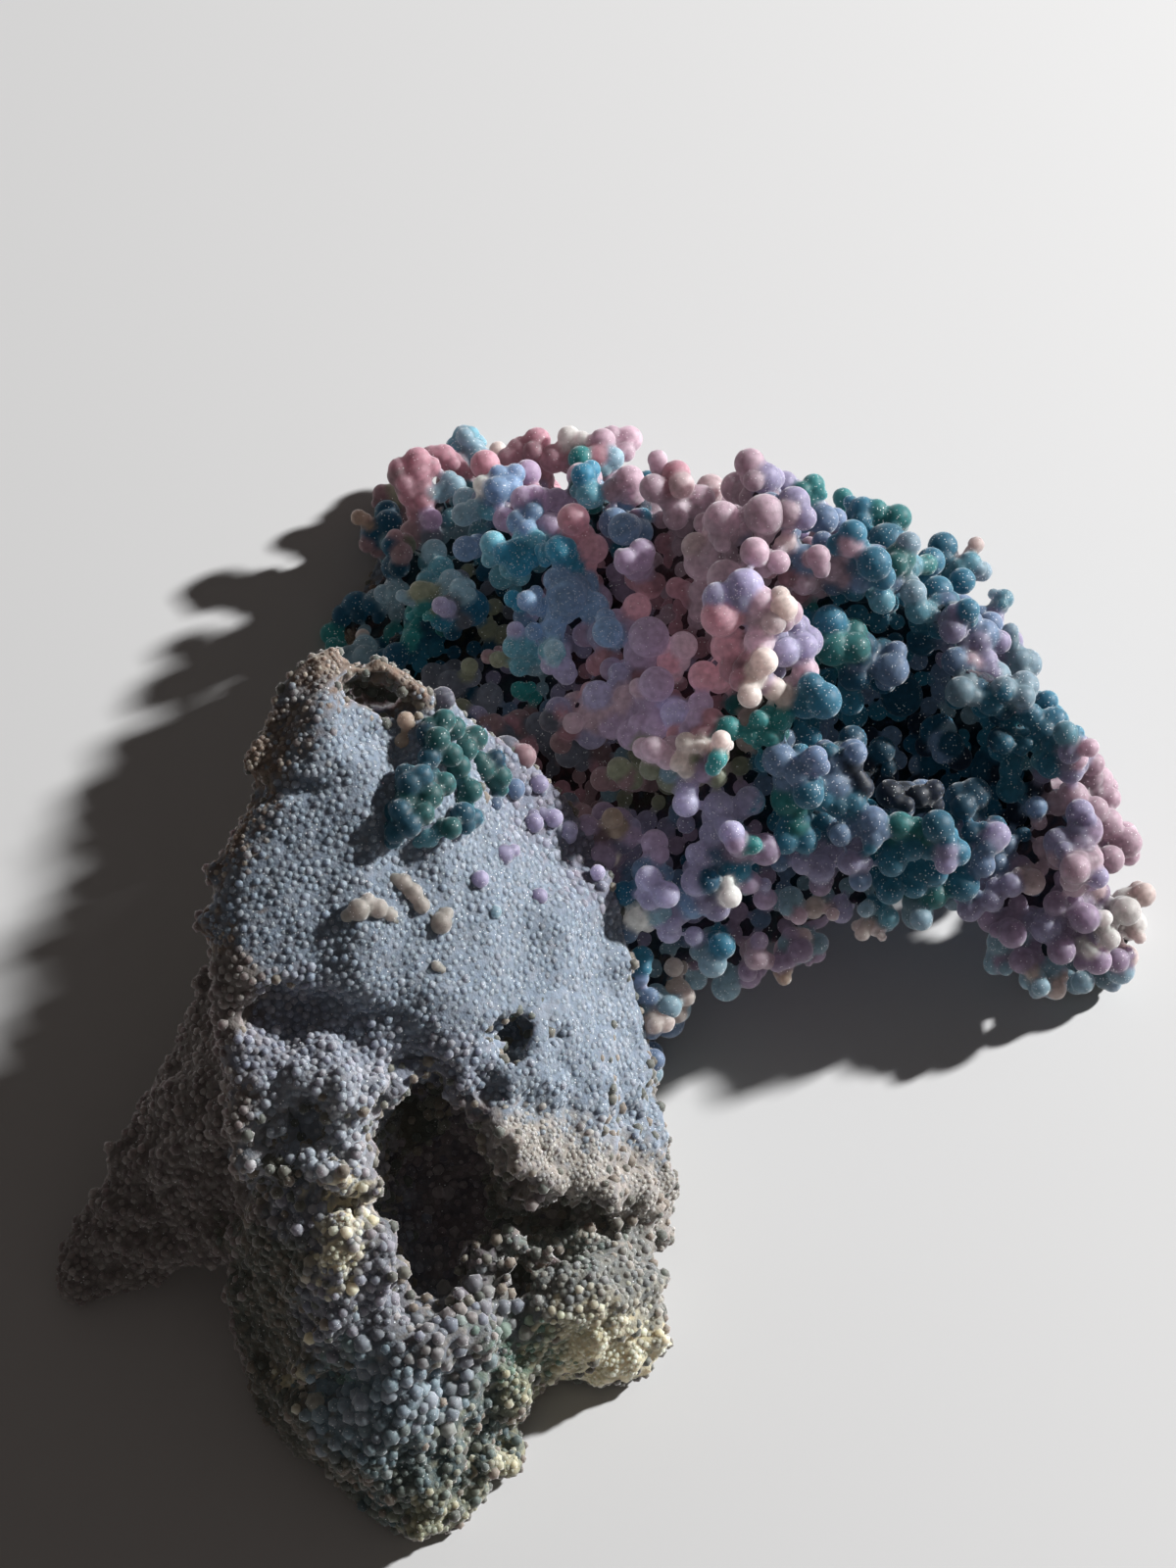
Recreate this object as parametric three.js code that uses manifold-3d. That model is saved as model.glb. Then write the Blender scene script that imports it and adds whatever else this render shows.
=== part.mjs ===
// A cabinet specimen of grape agate: one piece of botryoidal chalcedony.
// A leaning sheet covered in fine beads rises on the left. The body under it runs to the front and holds
// an open cavity, a spur reaches out to the left, and a curved crust of grape-like balls sweeps round
// behind and arches down to the right tip. Everything has grown together, so it is one solid.
// Millimetres, +Z up. The origin is the middle of the bounding box, on the surface that it rests on.
import * as THREE from "three";
import { mergeVertices } from "three/addons/utils/BufferGeometryUtils.js";
import Module from "manifold-3d";

const wasm = await Module();
wasm.setup();

// Outlines are [x, y] and heights are [x, y, z], in a frame whose plan middle is PLAN_MIDDLE.
const PLAN_MIDDLE = [2.5, 8.8];
const SHEET_THICKNESS = 10;
const SPUR_THICKNESS = 8;
const GRID = 4.2; // spacing of the modelled surface
const OUTLINE_STEP = 4.6; // length of one facet along an outline
const HEIGHT_BLUR = 9; // mm2: how softly one surveyed height passes into the next
const EDGE_SHARE = 0.3; // thickness left at a worn edge
const ROUGHNESS = 0.8; // how far weathering moves the surface
const BALL_RADIUS = 2.6; // a grape ball with its nearest neighbours
const BALL_PITCH = 6.6;
const BALL_LIFT = 0.5; // share of its radius that a ball's middle stands above the surface
const BALL_SPREAD = [0.85, 1.25]; // smallest and largest ball, as shares of BALL_RADIUS
const BALL_SEED = 7;
const FOOT_LEVEL = -3; // feet are modelled this low, then cut off flat at the surface
const CUTTER = 400; // larger than the specimen every way

const SHEET = {
  edge: 5,
  outline: [
    [-15, 21.6], [-20, 23.2], [-25.4, 21.6], [-29.8, 15.8], [-33, 8.4], [-35.8, 1.6], [-36.4, -5],
    [-35.6, -12], [-34.4, -18.4], [-32, -24], [-26, -26.5], [-18, -24.5], [-9, -23.5], [0, -24],
    [6.5, -22.5], [8.6, -18], [7.9, -13], [6.4, -7], [5.5, 0.7], [4, 7], [2.5, 11.5], [0, 15.7],
    [-4, 19.8], [-9.5, 22],
  ],
  top: [
    [-25, 20, 51], [-20, 22, 51], [-15, 21.4, 47], [-20, 17.5, 39], [-24, 11, 47], [-28.2, 14.7, 49],
    [-32.3, 8, 47], [-35.5, 1.6, 45], [-36.2, -5, 43], [-35.6, -12, 39], [-34.4, -18, 35],
    [-32, -24, 30], [-22, 4, 43], [-14, 4, 38], [-22, -5, 41], [-14, -6, 35], [-5, 4, 30],
    [-5, 15, 28], [-10, 20, 33], [0, 12, 22], [4, 3, 17], [5, -5, 14], [-2, -5, 26], [-8, -10, 30],
    [0, -12, 22], [7, -12, 11], [8, -18, 10], [0, -19, 18], [-8, -17, 26], [-18, -14, 31],
    [-29, -6, 42], [-29, -11, 33], [-24, -11.5, 32], [-29, -16, 36], [-22, -20, 29], [-28, -20, 32],
  ],
};

const BODY = {
  edge: 6,
  outline: [
    [-33, -18], [-35.5, -28], [-34, -36], [-31.5, -41], [-28, -43.6], [-24, -47], [-20.5, -50.5],
    [-15.5, -52], [-11, -49.3], [-9.4, -44.8], [-6.6, -39.6], [-4.4, -35.6], [-1, -36], [3, -36.2],
    [7, -33.6], [7.6, -28.5], [6, -24], [6.5, -19], [6.5, -6], [8, 4], [8, 14], [0, 20], [-12, 17],
    [-24, 14], [-30, 2], [-31, -8],
  ],
  top: [
    [-28, 4, 41], [-24, 12, 41], [-12, 12, 30], [-28, -10, 36], [4, 4, 12], [8, 12, 14], [-2, 16, 18],
    [-34, -20, 25], [-29, -26, 30], [-24, -26, 31], [-24, -31, 27], [-36, -29, 15], [-35, -37, 9],
    [-19, -39, 18], [-24, -43, 13], [-15, -47, 10], [-15.5, -51, 5], [-9, -45, 8], [-5, -37, 11],
    [0, -31, 15], [5, -33.5, 8], [6, -28, 11], [6, -21, 11], [-4, -25, 16], [-15, -33, 19],
    [-22, -26, 24],
  ],
  bottom: [[-14, -27, FOOT_LEVEL], [-15, 6, FOOT_LEVEL]],
};

const SPUR = {
  edge: 4,
  outline: [
    [-36, 2.5], [-40, -2], [-44, -8.5], [-49, -17], [-53, -22.8], [-54.6, -26], [-53, -27.6],
    [-49.4, -26.6], [-44.3, -25.4], [-39.3, -25], [-33, -26], [-26, -22], [-26, -6], [-29, 3],
  ],
  top: [
    [-36, 2, 22], [-44, -8.5, 16], [-49, -17, 11], [-54, -26, 6], [-49, -26, 5.5], [-44, -24, 9],
    [-39, -24, 11], [-35, -25, 13], [-38, -14, 22], [-32, -10, 27], [-30, -20, 26], [-44, -17, 15],
  ],
};

const CRUST = {
  edge: 7,
  outline: [
    [-26.5, 46], [-25.5, 52], [-22.5, 59.5], [-18.5, 65], [-13, 67], [-7, 65.5], [-2, 64.5], [4, 62],
    [10, 57], [17, 55.3], [24, 54], [32, 51.5], [39, 47.5], [44.5, 40], [49, 31.5], [53.5, 24],
    [57, 18], [57.5, 13], [56, 9.5], [53, 7], [48.5, 6], [44.5, 7], [41, 10], [35, 10.5], [30, 9.5],
    [25, 7.5], [20, 6], [14, 4], [10, 1], [4, -2], [-4, 2], [-10, 14], [-16, 24], [-24.5, 39],
  ],
  top: [
    [-25, 50, 6], [-20.5, 52, 9], [-22.5, 60, 8], [-16.5, 58, 9.5], [-13.5, 64, 10.5], [-7.3, 58, 16],
    [-4, 63, 15], [4, 58, 20.5], [3, 52, 24], [10, 52, 29], [10, 43, 34], [14, 36.5, 38], [19, 30, 36],
    [20, 24, 33], [17, 45, 37], [24, 42, 34], [25, 50, 27], [32, 48, 24], [34, 42, 29], [40, 43, 23],
    [40, 38, 27], [44, 36, 20], [26, 34, 30], [30, 38, 31], [42, 30, 28], [47, 26, 22], [50, 21, 20],
    [54, 21, 14], [35, 29, 13], [42, 24, 13], [27, 27, 17], [13, 21.5, 29.5], [4, 28, 26],
    [-1, 27, 23], [20, 16, 26], [28, 15, 27], [35, 14, 24], [41, 13, 18], [27, 10, 20], [36, 11, 14],
    [10, 12, 24], [14, 8, 19], [22, 8, 13], [10, 3, 13], [4, 11, 20], [4, 4, 16], [2, 43, 20],
    [-2, 49, 21], [-6, 41, 18], [7, 36, 26], [-12, 46, 14], [-16, 38, 9], [-8, 33, 13], [-20, 42, 7],
    [-6, 22, 10], [50, 13, 17], [55, 14, 14], [52, 9, 12], [46, 9, 10],
  ],
  bottom: [
    [52, 11, FOOT_LEVEL], [40, 18, 7], [28, 20, 8], [32, 36, 6], [14, 40, 5], [-16, 48, FOOT_LEVEL],
    [-4, 34, 3], [22, 8, 8], [8, 6, 3], [16, 52, 4], [40, 44, 5], [48, 28, 6],
  ],
};

// The bunch that stands on the sheet by itself: [x, y, height above the sheet].
const SHEET_BUNCH = [
  [-14.5, 16, 1.6], [-11.5, 13.5, 2.2], [-15.5, 12, 2.4], [-17, 8.5, 1.6], [-12.5, 9.5, 2.2], [-9, 11, 1.2],
  [-14, 6.5, 1],
];

// Each hollow is an ellipsoid taken out of the stone: where, its half sizes, and its turn about X and Z.
const HOLLOWS = [
  { name: "cavity", at: [-15, -21.5, 21], half: [6.8, 9.5, 13], turn: [-0.25, 0.1] },
  { name: "slit", at: [-4.5, -24.2, 14.5], half: [10, 2, 5], turn: [-0.5, 0.04] },
  { name: "eye", at: [-7.6, -9.4, 30], half: [1.9, 1.6, 9], turn: [-0.4, 0] },
  { name: "trough", at: [35, 28, 22], half: [9, 4, 11], turn: [-0.3, -0.3] },
  { name: "well", at: [2.3, 44, 28], half: [3, 3.6, 10], turn: [-0.3, 0] },
  { name: "recess", at: [-13, 35, 17], half: [7, 4.2, 10], turn: [-0.3, 0.5] },
];

// Repeatable random numbers from 0 to 1.
function randomFrom(seed) {
  let state = seed;
  return () => {
    state = (state * 1664525 + 1013904223) % 4294967296;
    return state / 4294967296;
  };
}

// Smooth uneven relief, from about -1 to 1.
function relief(x, y, z) {
  const broad = Math.sin(0.31 * x + 1.3 * Math.sin(0.17 * y)) * Math.cos(0.27 * y + 0.23 * z);
  const fine = Math.sin(0.83 * x + 0.4 * z) * Math.sin(0.71 * y - 0.5 * z + 1.1);
  return 0.6 * broad + 0.4 * fine;
}

// The height at a plan point, eased between surveyed heights.
function heightFrom(knots) {
  return (x, y) => {
    let sum = 0;
    let weights = 0;
    for (const [knotX, knotY, knotZ] of knots) {
      const weight = 1 / ((x - knotX) ** 2 + (y - knotY) ** 2 + HEIGHT_BLUR) ** 2;
      sum += weight * knotZ;
      weights += weight;
    }
    return sum / weights;
  };
}

// A smooth closed outline as evenly spaced points.
function rimOf(outline) {
  const curve = new THREE.CatmullRomCurve3(
    outline.map(([x, y]) => new THREE.Vector3(x, y, 0)),
    true,
  );
  return curve.getSpacedPoints(Math.round(curve.getLength() / OUTLINE_STEP)).slice(1);
}

// How far a plan point lies inside a rim, and 0 where it is outside.
function insetFrom(rim) {
  const sides = rim.map((point, i) => new THREE.Line3(point, rim[(i + 1) % rim.length]));
  const nearest = new THREE.Vector3();
  return (x, y) => {
    const at = new THREE.Vector3(x, y, 0);
    let inside = false;
    let distance = Infinity;
    for (const side of sides) {
      const { start, end } = side;
      const crosses = start.y > y !== end.y > y;
      if (crosses && x < start.x + ((y - start.y) / (end.y - start.y)) * (end.x - start.x)) inside = !inside;
      distance = Math.min(distance, side.closestPointToPoint(at, true, nearest).distanceTo(at));
    }
    return inside ? distance : 0;
  };
}

// The surfaces of one mass: its rim, and the top and bottom height at a plan point, which close up
// towards the rim in a rounded edge.
function massOf({ edge, outline, top, bottom, thickness }) {
  const rim = rimOf(outline);
  const inset = insetFrom(rim);
  const high = heightFrom(top);
  const low = bottom ? heightFrom(bottom) : (x, y) => high(x, y) - thickness;
  const surface = (x, y, side) => {
    const reach = Math.min(1, inset(x, y) / edge);
    const fullness = EDGE_SHARE + (1 - EDGE_SHARE) * Math.sqrt(1 - (1 - reach) ** 2);
    const middle = (high(x, y) + low(x, y)) / 2;
    return middle + (side * fullness * (high(x, y) - low(x, y))) / 2;
  };
  return { rim, inset, surface };
}

// A closed triangle mesh as a solid that can be joined and cut.
function solid(geometry) {
  const bare = geometry.clone();
  bare.deleteAttribute("normal");
  bare.deleteAttribute("uv");
  const merged = mergeVertices(bare, 1e-4);
  return new wasm.Manifold(
    new wasm.Mesh({
      numProp: 3,
      vertProperties: merged.getAttribute("position").array,
      triVerts: new Uint32Array(merged.index.array),
    }),
  );
}

// A box of fine cells takes the heights of the mass, and is then cut to its rim by an upright prism.
function massSolid({ rim, surface }) {
  const span = new THREE.Box3().setFromPoints(rim).expandByScalar(1);
  const size = span.getSize(new THREE.Vector3());
  const centre = span.getCenter(new THREE.Vector3());
  const cells = [size.x, size.y].map((length) => Math.ceil(length / GRID));
  const slab = new THREE.BoxGeometry(size.x, size.y, 1, cells[0], cells[1], 1);
  slab.translate(centre.x, centre.y, 0);
  const position = slab.getAttribute("position");
  for (let i = 0; i < position.count; i++) {
    const x = position.getX(i);
    const y = position.getY(i);
    const z = surface(x, y, Math.sign(position.getZ(i)));
    position.setZ(i, z + ROUGHNESS * relief(x, y, z));
  }
  const prism = new THREE.ExtrudeGeometry(new THREE.Shape(rim), { depth: CUTTER, bevelEnabled: false });
  return solid(slab).intersect(solid(prism.translate(0, 0, -CUTTER / 2)));
}

function ball(x, y, z, radius, random) {
  const geometry = new THREE.IcosahedronGeometry(radius);
  geometry.rotateX(Math.PI * random()).rotateZ(Math.PI * random());
  return solid(geometry.translate(x, y, z));
}

function hollow({ at, half, turn }) {
  const geometry = new THREE.IcosahedronGeometry(1, 2).scale(...half);
  return solid(geometry.rotateX(turn[0]).rotateZ(turn[1]).translate(...at));
}

// The grape balls of the crust: staggered rows over its top, and more round its edge, high and low.
function crustBalls({ rim, inset, surface }, random) {
  const made = [];
  const span = new THREE.Box3().setFromPoints(rim);
  const rowStep = BALL_PITCH * Math.sin(Math.PI / 3);
  const wander = () => (random() - 0.5) * 0.5 * BALL_PITCH;
  const radius = () => BALL_RADIUS * THREE.MathUtils.lerp(...BALL_SPREAD, random());
  for (let row = 0; span.min.y + row * rowStep < span.max.y; row++) {
    for (let x = span.min.x + 0.5 * BALL_PITCH * (row % 2); x < span.max.x; x += BALL_PITCH) {
      const at = [x + wander(), span.min.y + row * rowStep + wander()];
      const lifted = surface(...at, 1) + BALL_LIFT * BALL_RADIUS;
      if (inset(...at) > BALL_RADIUS) made.push(ball(...at, lifted, radius(), random));
    }
  }
  rim.forEach(({ x, y }, i) => {
    const side = i % 3 - 1;
    if (side !== 0) made.push(ball(x, y, surface(x, y, side) + wander(), radius(), random));
  });
  return made;
}

function stone() {
  const random = randomFrom(BALL_SEED);
  const sheet = massOf({ ...SHEET, thickness: SHEET_THICKNESS });
  const spur = massOf({ ...SPUR, thickness: SPUR_THICKNESS });
  const body = massOf(BODY);
  const crust = massOf(CRUST);
  const masses = [sheet, body, spur, crust].map(massSolid);
  const bunch = SHEET_BUNCH.map(([x, y, above]) => {
    return ball(x, y, sheet.surface(x, y, 1) + above, BALL_RADIUS, random);
  });
  const hollowed = HOLLOWS.reduce((left, shape) => left.subtract(hollow(shape)), wasm.Manifold.union(masses));
  const grown = wasm.Manifold.union([hollowed, ...crustBalls(crust, random), ...bunch]);
  const below = new THREE.BoxGeometry(CUTTER, CUTTER, CUTTER).translate(0, 0, -CUTTER / 2);
  return withoutVoids(grown.subtract(solid(below)));
}

// The outer skin alone: sealed voids between the masses are filled with stone.
function withoutVoids(made) {
  return made.decompose().reduce((a, b) => (b.volume() > a.volume() ? b : a));
}

function geometryOf(made) {
  const { vertProperties, triVerts } = made.getMesh();
  const geometry = new THREE.BufferGeometry();
  geometry.setAttribute("position", new THREE.BufferAttribute(vertProperties, 3));
  geometry.setIndex(new THREE.BufferAttribute(triVerts, 1));
  geometry.computeVertexNormals();
  return geometry;
}

const lavenderGrey = new THREE.MeshStandardMaterial({ color: 0x9a98ab, roughness: 0.65, metalness: 0 });

const agate = new THREE.Mesh(geometryOf(stone()), lavenderGrey);
agate.name = "grape_agate";
agate.position.set(-PLAN_MIDDLE[0], -PLAN_MIDDLE[1], 0);

const specimen = new THREE.Group();
specimen.add(agate);

export default specimen;
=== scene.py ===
import math
from collections import namedtuple

import bmesh
import bpy
import numpy as np
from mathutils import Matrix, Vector, noise
from mathutils.bvhtree import BVHTree
from mathutils.kdtree import KDTree


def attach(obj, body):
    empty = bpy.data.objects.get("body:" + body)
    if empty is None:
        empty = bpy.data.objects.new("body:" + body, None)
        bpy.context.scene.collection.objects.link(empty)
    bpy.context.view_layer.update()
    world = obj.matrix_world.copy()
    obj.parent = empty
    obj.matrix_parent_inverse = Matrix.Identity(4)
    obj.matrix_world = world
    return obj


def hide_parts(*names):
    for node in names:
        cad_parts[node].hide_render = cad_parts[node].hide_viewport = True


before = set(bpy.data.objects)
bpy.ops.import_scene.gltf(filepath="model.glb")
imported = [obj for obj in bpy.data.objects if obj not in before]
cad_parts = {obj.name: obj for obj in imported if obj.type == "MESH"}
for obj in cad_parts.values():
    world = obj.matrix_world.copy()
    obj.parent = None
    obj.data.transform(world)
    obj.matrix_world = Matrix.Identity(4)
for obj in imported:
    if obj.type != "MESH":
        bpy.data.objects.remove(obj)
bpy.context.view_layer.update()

MM = 0.001
NODE = "grape_agate"
PLAN_MIDDLE = np.array((2.5, 8.8, 0))  # the specimen's middle in plan, in the millimetres used here

# The view: it looks down on the specimen from the front.
AIM = np.array((0, 22, 20))
ELEVATION = math.radians(65)
DISTANCE = 480
LENS = 108
BACK = np.array((0, -math.cos(ELEVATION), math.sin(ELEVATION)))
UP = np.array((0, math.sin(ELEVATION), math.cos(ELEVATION)))
EYE = AIM + BACK * DISTANCE

# Where the sheet ends and the ball crust begins, in plan: the crust lies behind this line.
CRUST_LINE = [
    (-60, 24), (-24, 24), (-20, 23.5), (-15, 22.5), (-9.5, 22), (-4, 20), (0, 16), (2.5, 11.5), (4, 7),
    (5.5, 0.7), (7, -4), (60, -6),
]
CRUST_UNDERSIDE = 2.0  # below this height the crust is bare host rock
TURNED_AWAY = 0.02  # a surface that faces the front less than this is a hidden side

# How finely the stone is skinned: at first, where holes are cut, and at last.
FIRST_SKIN = 0.85
HOLE_SKIN = 0.45
LAST_SKIN = 0.74
BEAD_SEEDING = 0.36  # spacing of the places among which the beads are chosen

# Seeds of each kind of growth.
SEEDS = {
    "edges": 4, "stone": 31, "lumps": 41, "holes": 43, "balls": 11, "tips": 3, "low": 5, "beads": 23, "grains": 8,
}
noise.seed_set(SEEDS["edges"])

# Growth of the balls, in millimetres.
SHRINK = 4.5  # how far the stone under the balls lies below their tips
THICKNESS_SHARE = 0.26  # most of the local thickness that this may take
TIP_SPACING = 2.6
TIP_RADIUS = (0.95, 1.5)
LOW_SPACING = 2.2
LOW_RADIUS = (0.8, 1.25)
BALL_VOXEL = 0.372  # how finely the balls are fused

# The crust from left to right, in the pieces that its balls are joined in.
PARTS_OF_CRUST = {"a": (-99, -5), "b": (-5, 8), "c": (8, 19), "d": (19, 33), "e": (33, 99)}

# Colours as the eye sees them, 0 to 255. The deep and dim tints, and in part deep_teal, are painted shade: darker
# tints for the balls that sit deep in the crust.
TINTS = {
    "pink": (164, 142, 153), "blush": (168, 150, 152), "rose": (158, 118, 128), "mauve": (136, 120, 142),
    "lavender": (132, 128, 154), "slate": (90, 112, 138), "mist": (112, 138, 150), "pale_teal": (82, 130, 144),
    "teal": (40, 98, 120), "green": (38, 104, 104), "deep_teal": (24, 68, 90), "deep": (22, 32, 46),
    "cream": (164, 152, 146), "white": (186, 184, 180), "olive": (116, 120, 102), "tan": (138, 122, 108),
    "brown_pink": (124, 102, 106), "dim": (84, 88, 98), "straw": (136, 131, 124),
}
# How much deeper the balls of the darker colours sit.
SUNK = {"deep_teal": 2.5, "deep": 4.0, "dim": 2.0, "brown_pink": 0.8, "rose": 0.8}

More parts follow.
